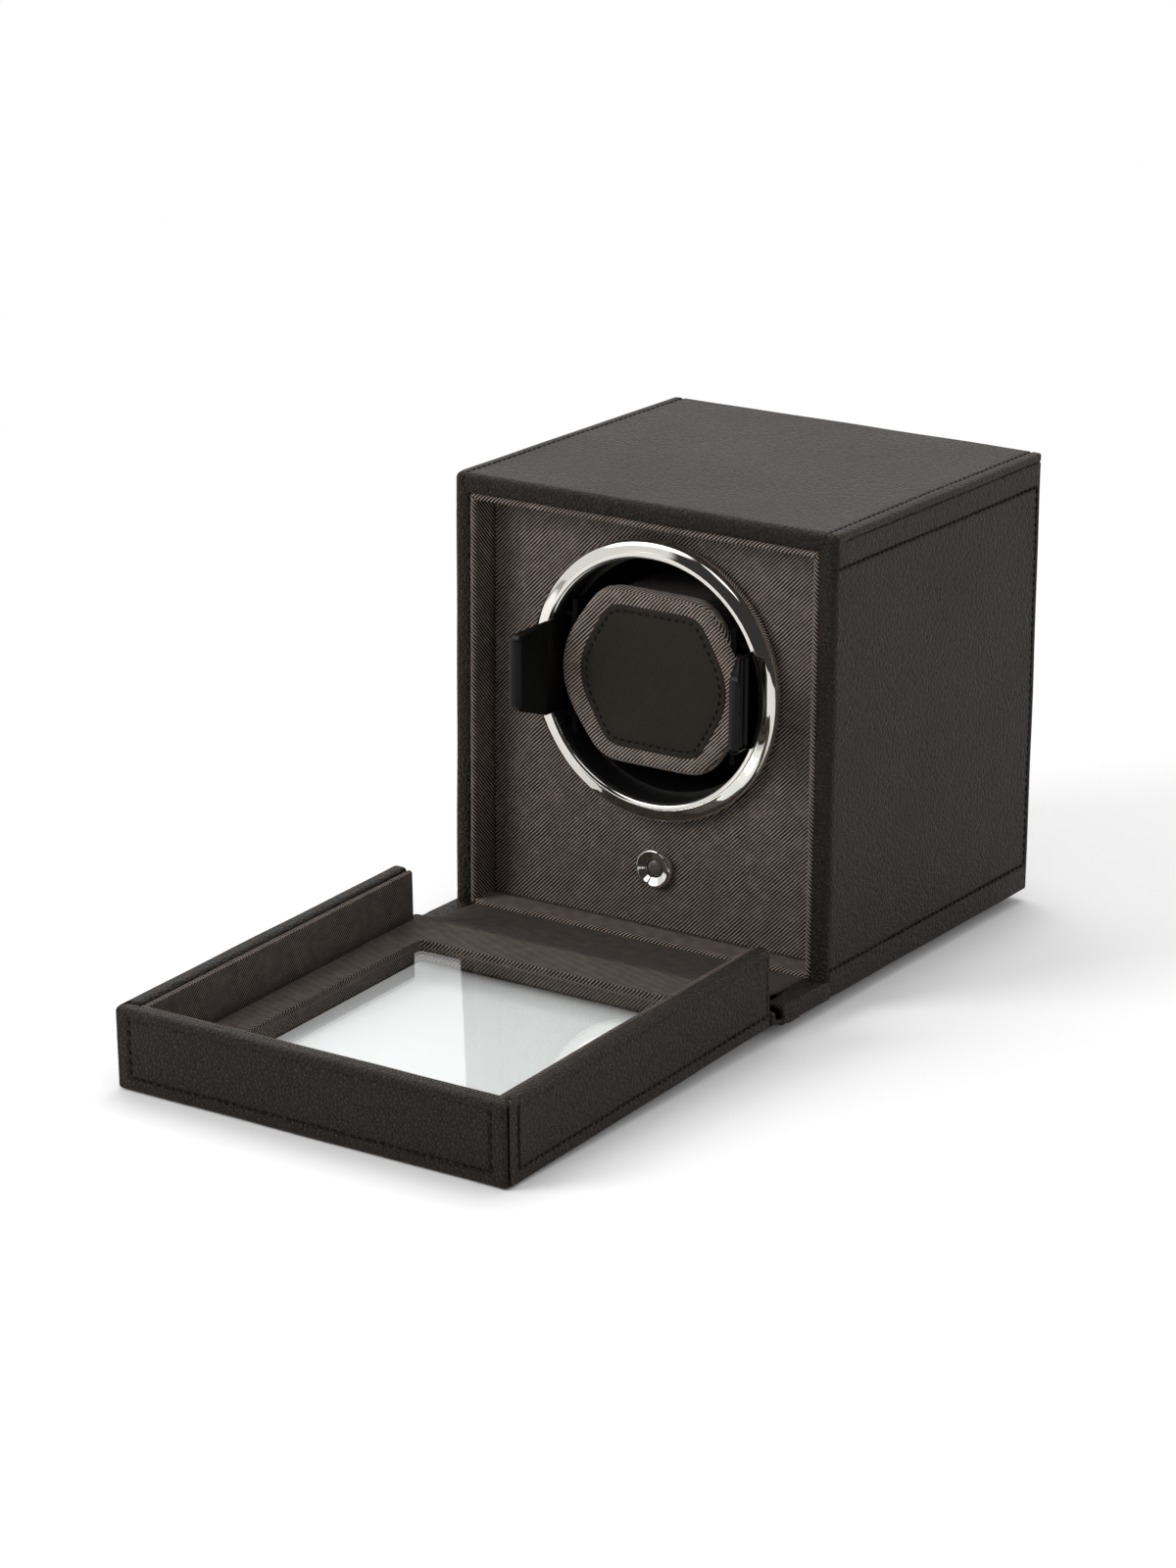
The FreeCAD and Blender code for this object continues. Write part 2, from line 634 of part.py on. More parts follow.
def make_ring():
    """A rounded ring: its section leans out from its foot, swells and falls to its inner lip."""
    ring = piece("bezel_ring")
    crest = panel_face - d.ring_stand
    lip_front = crest + d.ring_lip * 0.6
    points = (
        (panel_face, d.ring_foot),
        (panel_face - d.ring_stand * 0.43, d.ring_outer),
        (crest, d.ring_crest),
        (lip_front, d.ring_inner),
        (lip_front + d.ring_lip, d.ring_inner),
        (lip_front + d.ring_lip, ring_recess),
        (panel_face, ring_recess),
    )
    arcs = {
        0: (d.ring_stand * 0.55, 1),
        1: (d.ring_stand * 0.72, 1),
        2: (d.ring_stand, 1),
    }
    turned(ring, points, (0, d.drum_rise), arcs)


def make_button():
    bezel = piece("button_bezel")
    front = panel_face - d.bezel_stand
    bore = d.button_radius + 2 * d.running_fit
    turned(bezel, (
        (front, bore),
        (bezel_end, bore),
        (bezel_end, bezel_sleeve),
        (panel_face, bezel_sleeve),
        (panel_face, d.bezel_radius),
        (panel_face - d.leather / 2, d.bezel_radius),
        (front, bezel_sleeve),
    ), (0, d.button_rise))
    cap = piece("button_cap")
    squares = d.button_radius * d.button_radius + d.button_crown * d.button_crown
    crown_radius = squares / (2 * d.button_crown)
    edge = front + d.button_crown
    turned(cap, (
        (front, 0),
        (cap_end, 0),
        (cap_end, d.button_radius / 2),
        (cap_seat + d.leather, d.button_radius / 2),
        (cap_seat + d.leather, bezel_sleeve),
        (cap_seat, bezel_sleeve),
        (cap_seat, d.button_radius),
        (edge, d.button_radius),
    ), (0, d.button_rise), {7: (crown_radius, 1)})


# The drive: housing, drum, spindle, bush, pulleys, belt, motor.


def flange_screw_spots():
    """The four screws that hold the housing to the front panel."""
    reach = d.flange_screws * math.cos(math.radians(45))
    for z in (-1, 1):
        for x in (-1, 1):
            yield x * reach, d.drum_rise + z * reach


def motor_screw_spots():
    for side in (-1, 1):
        yield d.motor_side + side * d.motor_screw_spread, d.motor_rise


def board_screw_spots():
    rise = d.board_half - d.board_screw_inset
    yield d.board_screw_inset - d.board_left, d.button_rise - rise
    yield d.board_right - d.board_screw_inset, d.button_rise + rise


post_radius = d.screw_head


def make_housing():
    """The black housing: collar, flange, cup, bush boss, board plate and motor lug."""
    housing = piece("drum_housing")
    collar_front = panel_face - d.ring_stand + d.ring_lip * 1.6 + d.seat_gap
    lip_end = drum_front - d.lip_gap
    collar_outer = d.collar_radius + d.collar_wall
    cup_outer = housing_radius + d.housing_wall
    turned(housing, (
        (collar_front, d.collar_radius),
        (lip_end, d.collar_radius),
        (lip_end, housing_radius),
        (housing_floor, housing_radius),
        (housing_floor, bush_radius),
        (boss_end, bush_radius),
        (boss_end, bush_radius + d.boss_wall),
        (housing_end, bush_radius + d.boss_wall),
        (housing_end, cup_outer),
        (flange_end, cup_outer),
        (flange_end, d.flange_radius),
        (panel_rear, d.flange_radius),
        (panel_rear, collar_outer),
        (collar_front, collar_outer),
    ), (0, d.drum_rise))
    plate_top = d.drum_rise - housing_radius - d.housing_wall / 2
    block(housing, (-d.plate_half, d.plate_half), (panel_rear, flange_end), (d.plate_low, plate_top))
    lug_half = d.gearbox_radius + d.lug_margin
    lug_top = d.drum_rise - housing_radius * 0.74
    block(housing, (d.motor_side - lug_half, d.motor_side + lug_half),
          (housing_floor, housing_end), (d.motor_rise - lug_half, lug_top))
    for x, z in board_screw_spots():
        rod(housing, post_radius, (x, z), flange_end, board_front)
        rod(housing, d.screw_radius, (x, z), flange_end + d.leather, board_front, cut=True)
    rod(housing, bezel_sleeve + 2, (0, d.button_rise), panel_rear, flange_end, cut=True)
    for x, z in flange_screw_spots():
        rod(housing, d.screw_radius + d.seat_gap, (x, z), panel_rear, flange_end, cut=True)
    boss_hole = d.motor_shaft_radius * 2
    rod(housing, boss_hole, (d.motor_side, d.motor_rise), housing_floor, housing_end, cut=True)
    for x, z in motor_screw_spots():
        rod(housing, d.screw_radius + d.seat_gap, (x, z), housing_floor, housing_end, cut=True)


def make_drum():
    drum = piece("drum")
    turned(drum, (
        (drum_front, d.drum_bore),
        (drum_floor, d.drum_bore),
        (drum_floor, d.spindle_radius),
        (drum_end, d.spindle_radius),
        (drum_end, d.drum_bore + d.drum_wall),
        (drum_front, d.drum_bore + d.drum_wall),
    ), (0, d.drum_rise))
    rib_inner = d.cuff_body_half + d.cuff_cheek + d.seat_gap
    rib_outer = d.drum_bore + d.drum_wall / 4
    for low, high in ((-rib_outer, -rib_inner), (rib_inner, rib_outer)):
        for offset in (d.rib_offset, -d.rib_offset - d.rib_width):
            rib_low = d.drum_rise + offset
            block(drum, (low, high), (d.rib_start, drum_floor), (rib_low, rib_low + d.rib_width))
    spindle = piece("spindle")
    rod(spindle, d.spindle_radius, (0, d.drum_rise), drum_floor, pulley_end + d.pulley_flange)
    rod(spindle, d.spindle_radius * 2, (0, d.drum_rise), drum_floor - d.screw_cap, drum_floor)
    bush = piece("spindle_bush")
    turned(bush, (
        (housing_floor, d.spindle_radius + d.running_fit),
        (boss_end + d.bush_flange, d.spindle_radius + d.running_fit),
        (boss_end + d.bush_flange, bush_radius + 2),
        (boss_end, bush_radius + 2),
        (boss_end, bush_radius),
        (housing_floor, bush_radius),
    ), (0, d.drum_rise))


def make_pulley(label, centre, radius, bore):
    """A flat-belt pulley between two flanges."""
    pulley = piece(label)
    rim = radius + d.pulley_rim
    inner_front = pulley_front + d.pulley_flange
    inner_end = pulley_end - d.pulley_flange
    turned(pulley, (
        (pulley_front, bore),
        (pulley_end, bore),
        (pulley_end, rim),
        (inner_end, rim),
        (inner_end, radius),
        (inner_front, radius),
        (inner_front, rim),
        (pulley_front, rim),
    ), centre)


def make_motor():
    centre = (d.motor_side, d.motor_rise)
    motor = piece("gear_motor")
    gearbox_front = housing_floor - d.gearbox_length
    rod(motor, d.gearbox_radius, centre, gearbox_front, housing_floor)
    rod(motor, d.motor_radius, centre, gearbox_front - d.motor_length, gearbox_front)
    rod(motor, d.motor_shaft_radius * 2 - d.seat_gap, centre, housing_floor, housing_end)
    shaft_start = housing_floor - d.motor_shaft_radius * 4
    rod(motor, d.motor_shaft_radius + d.running_fit, centre, shaft_start - d.free_fit, housing_end, cut=True)
    for spot in motor_screw_spots():
        rod(motor, d.screw_radius, spot, motor_screw_end, housing_floor, cut=True)
    shaft = piece("motor_shaft")
    rod(shaft, d.motor_shaft_radius, centre, shaft_start, pulley_end)


def tangent_loop(big, small, big_radius, small_radius, station):
    """The closed wire of a belt round two pulleys, in X and Z at a station along Y."""
    centres = [FreeCAD.Vector(x, station, z) for x, z in (big, small)]
    across = centres[1] - centres[0]
    along = across * (1 / across.Length)
    beside = FreeCAD.Vector(-along.z, 0, along.x)
    lean = (big_radius - small_radius) / across.Length
    rise = math.sqrt(1 - lean * lean)
    ends = {}
    for side in (-1, 1):
        out = along * lean + beside * (rise * side)
        ends[side] = (centres[0] + out * big_radius, centres[1] + out * small_radius)
    edges = [
        Part.Arc(ends[1][0], centres[0] - along * big_radius, ends[-1][0]).toShape(),
        Part.LineSegment(ends[-1][0], ends[-1][1]).toShape(),
        Part.Arc(ends[-1][1], centres[1] + along * small_radius, ends[1][1]).toShape(),
        Part.LineSegment(ends[1][1], ends[1][0]).toShape(),
    ]
    return Part.Wire(edges)


def make_belt():
    big = (0, number(d.drum_rise))
    small = (number(d.motor_side), number(d.motor_rise))
    station = number(pulley_front + d.pulley_flange + d.free_fit)
    solids = []
    for extra in (d.belt_gap + d.belt_thickness, d.belt_gap):
        radii = (number(d.pulley_radius + extra), number(d.motor_pulley_radius + extra))
        face = Part.Face(tangent_loop(big, small, *radii, station))
        solids.append(face.extrude(FreeCAD.Vector(0, number(d.belt_width), 0)))
    shaped("drive_belt", solids[0].cut(solids[1]).Solids[0])


# The electrics: control board, switch, inlet and leads.

socket_low = d.button_rise - d.board_half / 2


def make_electrics():
    board = piece("control_board")
    board_rear = board_front + d.control_board
    low = d.button_rise - d.board_half
    high = d.button_rise + d.board_half
    block(board, (-d.board_left, d.board_right), (board_front, board_rear), (low, high))
    for x, z in board_screw_spots():
        rod(board, d.screw_radius + d.seat_gap, (x, z), board_front, board_rear, cut=True)
    socket_left = d.socket_inset - d.board_left
    block(board, (socket_left, socket_left + d.socket_width),
          (board_rear, board_rear + d.socket_depth), (socket_low, socket_low + d.socket_height))
    block(board, (-d.chip_half, d.chip_half), (board_rear, board_rear + d.chip_depth),
          (d.button_rise - d.chip_half, d.button_rise + d.chip_half))
    rod(board, d.capacitor_radius, (d.board_right - d.chip_half * 2, d.button_rise - d.chip_half),
        board_rear, board_rear + d.capacitor_height)
    switch = piece("push_switch")
    half = d.button_radius
    block(switch, (-half, half), (switch_front, board_front), (d.button_rise - half, d.button_rise + half))
    rod(switch, half / 2, (0, d.button_rise), switch_front - d.switch_plunger, switch_front)
    inlet = piece("power_inlet")
    centre = (0, d.inlet_rise)
    flange_seat = d.case_depth - d.screw_cap
    inlet_front = d.case_depth - d.inlet_length
    rod(inlet, d.inlet_radius, centre, inlet_front, flange_seat)
    rod(inlet, d.inlet_flange, centre, flange_seat, d.case_depth)
    socket = d.inlet_radius * 0.6
    rod(inlet, socket, centre, inlet_front + 2 * d.inlet_wall, d.case_depth, cut=True)
    rod(inlet, d.inlet_radius * 0.2, centre, inlet_front + 2 * d.inlet_wall,
        d.case_depth - d.inlet_wall)


def lead(label, route):
    """A round lead along straight runs joined by arcs as large as the runs allow."""
    spots = [FreeCAD.Vector(*[number(v) for v in spot]) for spot in route]
    edges = []
    radii = []
    here = spots[0]
    for before, corner, after in zip(spots, spots[1:], spots[2:]):
        inward = (corner - before).normalize()
        outward = (after - corner).normalize()
        half_turn = inward.getAngle(outward) / 2
        set_back = 0.45 * min((corner - before).Length, (after - corner).Length)
        start = corner - inward * set_back
        end = corner + outward * set_back
        radius = set_back / math.tan(half_turn)
        radii.append(round(radius, 1))
        toward_centre = (outward - inward).normalize()
        middle = corner + toward_centre * (radius / math.cos(half_turn) - radius)
        edges.append(Part.LineSegment(here, start).toShape())
        edges.append(Part.Arc(start, middle, end).toShape())
        here = end
    edges.append(Part.LineSegment(here, spots[-1]).toShape())
    path = Part.Wire(edges)
    first = (spots[1] - spots[0]).normalize()
    section = Part.Wire(Part.Circle(spots[0], first, number(d.lead_radius)).toShape())
    swept = path.makePipeShell([section], True, True)
    expected = math.pi * number(d.lead_radius) ** 2 * path.Length
    print(label, "bend radii", radii, "volume", round(swept.Volume, 2), "expected", round(expected, 2))
    if abs(swept.Volume - expected) > expected / 100:
        raise RuntimeError(f"{label} is pinched or folded")
    shaped(label, swept)


def make_leads():
    board_rear = board_front + d.control_board
    motor_front = housing_floor - d.gearbox_length - d.motor_length
    terminal = d.motor_rise + d.motor_radius * 0.6
    entry = d.button_rise - d.board_half / 2
    lead("motor_leads", (
        (d.motor_side, motor_front, terminal),
        (d.motor_side, board_front - d.lead_slack, terminal),
        (d.lead_entry, board_front - d.lead_slack, entry),
        (d.lead_entry, board_front, entry),
    ))
    inlet_front = d.case_depth - d.inlet_length
    socket_middle = d.socket_inset - d.board_left + d.socket_width / 2
    socket_rear = board_rear + d.socket_depth
    plug = socket_low + d.socket_height / 2
    rest = base_top + d.lead_rest
    lead("power_leads", (
        (socket_middle, socket_rear, plug),
        (socket_middle, socket_rear + d.lead_drop, plug),
        (socket_middle, socket_rear + d.lead_drop + d.lead_fall, rest),
        (socket_middle / 2, inlet_front - d.lead_rise, rest),
        (0, inlet_front - d.lead_rise / 2, d.inlet_rise),
        (0, inlet_front, d.inlet_rise),
    ))


# The cover, in the cover frame.


def make_cover_frame():
    full = (-half_width, half_width)
    window_x = (-window_side, window_side)
    window_y = (-window_near, -d.hinge_rail)
    skin = piece("cover_leather", "cover")
    block(skin, full, (-cover_length, -d.rail_start), (0, d.leather))
    edge_x = (-window_side - d.leather, window_side + d.leather)
    edge_y = (-window_near - d.leather, -d.hinge_rail + d.leather)
    block(skin, edge_x, edge_y, (0, glass_low))
    block(skin, window_x, window_y, (0, glass_low), cut=True)
    board = piece("cover_board", "cover")
    board_x = (-wall_inner - d.leather, wall_inner + d.leather)
    block(board, board_x, (-near_inner - d.leather, -d.rail_start), (d.leather, board_top))
    block(board, edge_x, edge_y, (d.leather, board_top), cut=True)
    rebate_x = (-window_side - d.glass_bite, window_side + d.glass_bite)
    rebate_y = (-window_near - d.glass_bite, -d.hinge_rail + d.glass_bite)
    block(board, rebate_x, rebate_y, (glass_low, board_top), cut=True)
    pane = piece("glass_pane", "cover")
    pane_x = (rebate_x[0] + d.seat_gap, rebate_x[1] - d.seat_gap)
    pane_y = (rebate_y[0] + d.seat_gap, rebate_y[1] - d.seat_gap)
    block(pane, pane_x, pane_y, (glass_low, board_top))
    rail = piece("rail_lining", "cover")
    block(rail, (-wall_inner, wall_inner), (-near_inner, -d.rail_start), (board_top, rail_top))
    block(rail, window_x, window_y, (board_top, rail_top), cut=True)


def make_side_wall(name, side):
    """A side wall: its board, and the leather round its outside, top, inside and hinge end."""

    def span(low, high):
        return (low, high) if side > 0 else (-high, -low)

    board = piece(f"{name}_wall_board", "cover")
    inner = wall_inner + d.leather
    block(board, span(inner, board_face), (-near_inner - d.leather, -d.wall_start - d.leather),
          (d.leather, wall_height - d.leather))
    skin = piece(f"{name}_wall_leather", "cover")
    hinge_end = -d.wall_start
    cap_z = (wall_height - d.leather, wall_height)
    block(skin, span(board_face, half_width), (-cover_length + d.leather, hinge_end),
          (d.leather, wall_height - d.leather))
    block(skin, span(wall_inner, half_width), (-near_inner, hinge_end), cap_z)
    block(skin, span(wall_inner, inner), (-near_inner, hinge_end), (board_top, wall_height))
    block(skin, span(inner, half_width), (hinge_end - d.leather, hinge_end), (d.leather, wall_height))

    def outer(box):
        at_side = near(box.XMin, side * half_width) and near(box.XMax, side * half_width)
        return at_side and near(box.ZMin, wall_height) and box.YLength > number(near_inner) / 2

    round_edges(skin, d.edge_round, outer)


def make_near_wall():
    board = piece("near_wall_board", "cover")
    board_y = (-cover_length + d.leather, -near_inner - d.leather)
    board_z = (d.leather, wall_height - d.leather)
    block(board, (-board_face, board_face), board_y, board_z)
    magnets = piece("cover_magnets", "cover")
    magnet_z = wall_height - d.leather - d.magnet_depth
    for side in (-1, 1):
        spot = (side * d.magnet_spread, -magnet_line)
        for item, cut in ((board, True), (magnets, False)):
            rod(item, d.magnet_radius, spot, magnet_z, board_z[1], axis="z", cut=cut)
    skin = piece("near_wall_leather", "cover")
    full = (-half_width, half_width)
    inner_x = (-wall_inner - d.leather, wall_inner + d.leather)
    block(skin, full, (-cover_length, -cover_length + d.leather), (d.leather, wall_height))
    block(skin, full, (-cover_length, -near_inner), (wall_height - d.leather, wall_height))
    block(skin, inner_x, (-near_inner - d.leather, -near_inner), (board_top, wall_height))

    def outer(box):
        along = near(box.YMax, -cover_length) and near(box.ZMin, wall_height)
        at_side = near(abs(box.XMin), half_width) and near(abs(box.XMax), half_width)
        upright = at_side and near(box.YMax, -cover_length) and box.ZLength > 1
        return (along and box.XLength > 1) or upright

    round_edges(skin, d.edge_round, outer)


def make_wall_linings():
    """Fabric-covered cards inside the three walls, standing on the rail."""
    cards = piece("wall_linings", "cover")
    tall = (rail_top, wall_height - d.wall_lining_drop)
    block(cards, (lining_inner, wall_inner), (-near_lining, -d.wall_start), tall)
    block(cards, (-wall_inner, -lining_inner), (-near_lining, -d.wall_start), tall)
    block(cards, (-wall_inner, wall_inner), (-near_inner, -near_lining), tall)


def make_hinge_strip(label, case_low, case_high, cover_low, cover_high):
    """A flexible strip between the shelf's front and the cover board, as it lies at rest."""
    angle = math.radians(number(cover_pitch))
    corners = [(number(shelf_front), number(case_low)), (number(shelf_front), number(case_high))]
    for rise in (cover_high, cover_low):
        y = -number(d.rail_start)
        z = number(rise)
        corners.append((
            -number(d.hinge_reach) + y * math.cos(angle) - z * math.sin(angle),
            number(d.hinge_rise) + y * math.sin(angle) + z * math.cos(angle),
        ))
    x = number(half_width) if label == "hinge_leather" else number(lining_inner)
    wire = Part.makePolygon([FreeCAD.Vector(-x, y, z) for y, z in corners + corners[:1]])
    shaped(label, Part.Face(wire).extrude(FreeCAD.Vector(2 * x, 0, 0)))


# The cuff: core, padding, face plate, leather pad, and the two grips with pins and springs.


def eight_sides(half_width, half_height, bulge, corner):
    """An eight-sided outline in X and Z with bulged upright sides, and those two arcs."""
    side = half_width - bulge
    cut_x = side - corner
    cut_z = half_height - corner
    points = (
        (cut_x, half_height), (-cut_x, half_height), (-side, cut_z), (-side, -cut_z),
        (-cut_x, -half_height), (cut_x, -half_height), (side, -cut_z), (side, cut_z),
    )
    radius = (cut_z * cut_z + bulge * bulge) / (2 * bulge)
    return points, {2: (radius, 1), 6: (radius, 1)}


def octagon(half_width, half_height, corner):
    """A block's outline with its corners cut at 45 degrees."""
    cut_x = half_width - corner
    cut_z = half_height - corner
    return (
        (cut_x, half_height), (-cut_x, half_height), (-half_width, cut_z), (-half_width, -cut_z),
        (-cut_x, -half_height), (cut_x, -half_height), (half_width, -cut_z), (half_width, cut_z),
    )


def make_cuff():
    face = piece("cuff_face")
    points, arcs = eight_sides(d.cuff_half_width, d.cuff_half_height, d.cuff_bulge, d.cuff_corner)
    plate(face, points, cuff_plate_rear, d.cuff_plate, arcs, d.drum_rise)
    round_edges(face, d.cuff_round, lambda box: box.YLength > 1)
    round_edges(face, d.cuff_plate * 0.4, lambda box: near(box.YMax, cuff_plate_front))
    pad = piece("cuff_leather")
    points, arcs = eight_sides(d.pad_half_width, d.pad_half_height, d.pad_bulge, d.pad_corner)
    plate(pad, points, cuff_plate_front, d.cuff_pad_leather, arcs, d.drum_rise)
    round_edges(pad, d.cuff_round, lambda box: box.YLength > 0.5)
    core = piece("cuff_core")
    body_x = (-d.cuff_body_half, d.cuff_body_half)
    core_end = cuff_body_end - d.cuff_plate * 2
    bar_z = (d.drum_rise - d.cuff_bar_height / 2, d.drum_rise + d.cuff_bar_height / 2)
    cheek_z = (d.drum_rise - d.cuff_cheek_height / 2, d.drum_rise + d.cuff_cheek_height / 2)
    block(core, body_x, (cuff_plate_rear, core_end), bar_z)
    cheek_end = drum_floor - d.free_fit
    ear_top = d.grip_height / 2 + d.free_fit
    for low, high, ear_low, ear_high in (
        (-d.cuff_body_half - d.cuff_cheek, -d.cuff_body_half,
         -d.grip_side - d.grip_barrel, -d.cuff_body_half),
        (d.cuff_body_half, d.cuff_body_half + d.cuff_cheek,
         d.cuff_body_half, d.grip_side + d.grip_barrel),
    ):
        block(core, (low, high), (cuff_plate_rear, cheek_end), cheek_z)
        for ear_z in ((d.drum_rise + ear_top, d.drum_rise + ear_top + d.grip_ear),
                      (d.drum_rise - ear_top - d.grip_ear, d.drum_rise - ear_top)):
            block(core, (ear_low, ear_high),
                  (d.grip_back - d.grip_barrel, d.grip_back + d.grip_barrel), ear_z)
    pins = piece("grip_pins")
    pin_z = (d.drum_rise - ear_top - d.grip_ear, d.drum_rise + ear_top + d.grip_ear)
    for side in (-1, 1):
        spot = (side * d.grip_side, d.grip_back)
        rod(core, d.pin_radius, spot, pin_z[0], pin_z[1], axis="z", cut=True)
        rod(pins, d.pin_radius, spot, pin_z[0], pin_z[1], axis="z")
    padding = piece("cuff_padding")
    points = octagon(d.cuff_body_half, d.cuff_body_height / 2, d.cuff_body_corner)
    plate(padding, points, cuff_body_end, cuff_body_end - cuff_plate_rear, centre_z=d.drum_rise)
    block(padding, body_x, (cuff_plate_rear, core_end), bar_z, cut=True)

    def rear(box):
        return near(box.YMin, cuff_body_end) and near(box.YMax, cuff_body_end)

    round_edges(padding, d.cuff_round, rear)


def make_grip(label, side):
    """A grip wing: a hinge barrel at its root and a blade that flares forward to its tip."""
    grip = piece(label)
    root_inner = d.grip_side + d.grip_barrel / 3
    root_outer = root_inner + d.grip_blade
    bend = cuff_plate_front - d.cuff_plate * 1.5
    points = [
        (root_outer, d.grip_back + d.grip_barrel / 2),
        (root_inner, d.grip_back + d.grip_barrel / 2),
        (root_inner + 0.2, bend),
        (d.grip_spread - d.grip_tip, -d.grip_lead),
        (d.grip_spread, -d.grip_lead),
        (root_outer + 0.4, bend),
    ]
    if side < 0:
        points = [(-x, y) for x, y in reversed(points)]
    sketch = outline(grip, "XY_Plane", points, origin=(0, 0, d.drum_rise))
    blade = grip.newObject("PartDesign::Pad", f"{label}_blade")
    blade.Profile = sketch
    blade.SideType = "Symmetric"
    blade.setExpression("Length", text_of(d.grip_height))
    low = d.drum_rise - d.grip_height / 2
    high = d.drum_rise + d.grip_height / 2
    spot = (side * d.grip_side, d.grip_back)
    rod(grip, d.grip_barrel, spot, low, high, axis="z")
    rod(grip, d.pin_radius + d.running_fit, spot, low, high, axis="z", cut=True)
    reach = d.grip_barrel + d.free_fit
    x = side * d.grip_side
    block(grip, (x - reach, x + reach), (d.grip_back - reach, d.grip_back + reach),
          (d.drum_rise - spring_half - d.free_fit, d.drum_rise + spring_half + d.free_fit), cut=True)
    drop = (d.grip_height - d.grip_tip_height) / 2
    for end, rise in ((low, drop), (high, -drop)):
        corner = [
            (bend, end),
            (-d.grip_lead - 1, end),
            (-d.grip_lead - 1, end + rise),
            (-d.grip_lead, end + rise),
        ]
        if number(rise) < 0:
            corner.reverse()
        taper = outline(grip, "YZ_Plane", corner)
        wedge = grip.newObject("PartDesign::Pocket", f"{label}_taper")
        wedge.Profile = taper
        wedge.Type = "ThroughAll"
        wedge.SideType = "Symmetric"


spring_half = 3.4


def make_grip_springs():
    """Close-wound return springs on the pins, each turned as one ridged sleeve."""
    springs = piece("grip_springs")
    turns = 4
    bore = d.pin_radius + d.running_fit * 2
    for side in (-1, 1):
        spot = (side * d.grip_side, d.grip_back)
        rod(springs, bore + 0.35, spot, d.drum_rise - spring_half, d.drum_rise + spring_half, axis="z")
        for turn in range(turns):
            pitch = 2 * spring_half / turns
            low = d.drum_rise - spring_half + pitch * (turn + 0.15)
            rod(springs, d.grip_barrel - 0.1, spot, low, low + pitch * 0.7, axis="z")
        rod(springs, bore, spot, d.drum_rise - spring_half, d.drum_rise + spring_half, axis="z", cut=True)


back_screw_end = back_board_face - 3 * d.screw_radius * 2
motor_screw_end = housing_floor - d.housing_back * 2

make_boards()
make_top_leather()
make_side_leather("left_leather", -1)
make_side_leather("right_leather", 1)
make_base_leather()
make_linings()
make_front_panel()
make_battens()
make_back_panel()
make_screws("back_screws", batten_spots(), d.screw_radius, d.case_depth - d.screw_cap, back_screw_end)
make_feet()
make_magnets()
make_ring()
make_button()
make_housing()
make_screws("housing_screws", flange_screw_spots(), d.screw_radius, flange_end, panel_face + d.leather)
make_drum()
make_pulley("drum_pulley", (0, d.drum_rise), d.pulley_radius, d.spindle_radius)
make_pulley("motor_pulley", (d.motor_side, d.motor_rise), d.motor_pulley_radius, d.motor_shaft_radius)
make_motor()
make_screws("motor_screws", motor_screw_spots(), d.screw_radius, housing_end, motor_screw_end)
make_belt()
make_electrics()
make_screws("board_screws", board_screw_spots(), d.screw_radius,
            board_front + d.control_board, flange_end + d.leather)
make_leads()
make_cover_frame()
make_side_wall("left", -1)
make_side_wall("right", 1)
make_near_wall()
make_wall_linings()
make_hinge_strip("hinge_leather", 0, d.leather, 0, d.leather)
make_hinge_strip("hinge_lining", base_top, shelf_top, rail_top - d.shelf_lining, rail_top)
make_cuff()
make_grip("left_grip", -1)
make_grip("right_grip", 1)
make_grip_springs()

doc.recompute()
for item in doc.Objects:
    if "Invalid" in item.State or "Error" in item.State:
        raise RuntimeError(f"{item.Label} failed: {item.State}")
for item in pieces:
    if item.Shape.isNull() or not item.Shape.isValid() or not item.Shape.Solids:
        raise RuntimeError(f"{item.Label} has no valid solid")
    item.Shape.exportStep(f"parts/{item.Label}.step")
print(len(pieces), "pieces written")
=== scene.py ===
import json
import math
import bmesh
import bpy
import numpy as np
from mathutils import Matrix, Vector


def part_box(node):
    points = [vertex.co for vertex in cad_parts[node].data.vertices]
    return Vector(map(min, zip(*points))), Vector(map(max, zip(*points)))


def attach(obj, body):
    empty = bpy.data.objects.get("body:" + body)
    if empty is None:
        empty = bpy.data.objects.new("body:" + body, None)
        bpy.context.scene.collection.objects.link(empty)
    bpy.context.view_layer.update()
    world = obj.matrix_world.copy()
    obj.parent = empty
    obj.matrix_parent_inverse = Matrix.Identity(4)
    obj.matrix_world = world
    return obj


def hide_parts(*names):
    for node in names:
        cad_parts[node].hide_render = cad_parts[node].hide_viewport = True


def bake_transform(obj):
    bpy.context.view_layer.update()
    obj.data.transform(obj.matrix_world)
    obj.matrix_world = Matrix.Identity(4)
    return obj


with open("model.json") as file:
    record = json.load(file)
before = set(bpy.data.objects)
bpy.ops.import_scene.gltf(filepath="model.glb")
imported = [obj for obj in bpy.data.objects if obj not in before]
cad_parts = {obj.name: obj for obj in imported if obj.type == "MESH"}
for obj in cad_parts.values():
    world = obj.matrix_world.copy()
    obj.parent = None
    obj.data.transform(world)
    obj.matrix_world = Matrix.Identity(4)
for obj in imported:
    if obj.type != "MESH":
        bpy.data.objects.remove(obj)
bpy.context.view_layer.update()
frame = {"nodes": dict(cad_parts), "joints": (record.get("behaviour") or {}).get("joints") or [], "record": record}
nodes = frame["nodes"]
joints = {joint["name"]: joint for joint in frame["joints"]}
print("frame loaded,", len(nodes), "nodes")


def middle(node):
    low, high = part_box(node)
    return (low + high) / 2


# Places that several pieces share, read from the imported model.
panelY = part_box("front_panel")[0].y
axisZ = middle("bezel_ring").z
hinge = joints["cover_hinge"]["pos_m"]
coverPitch = math.radians(joints["cover_hinge"]["range_deg"][1] - 90)


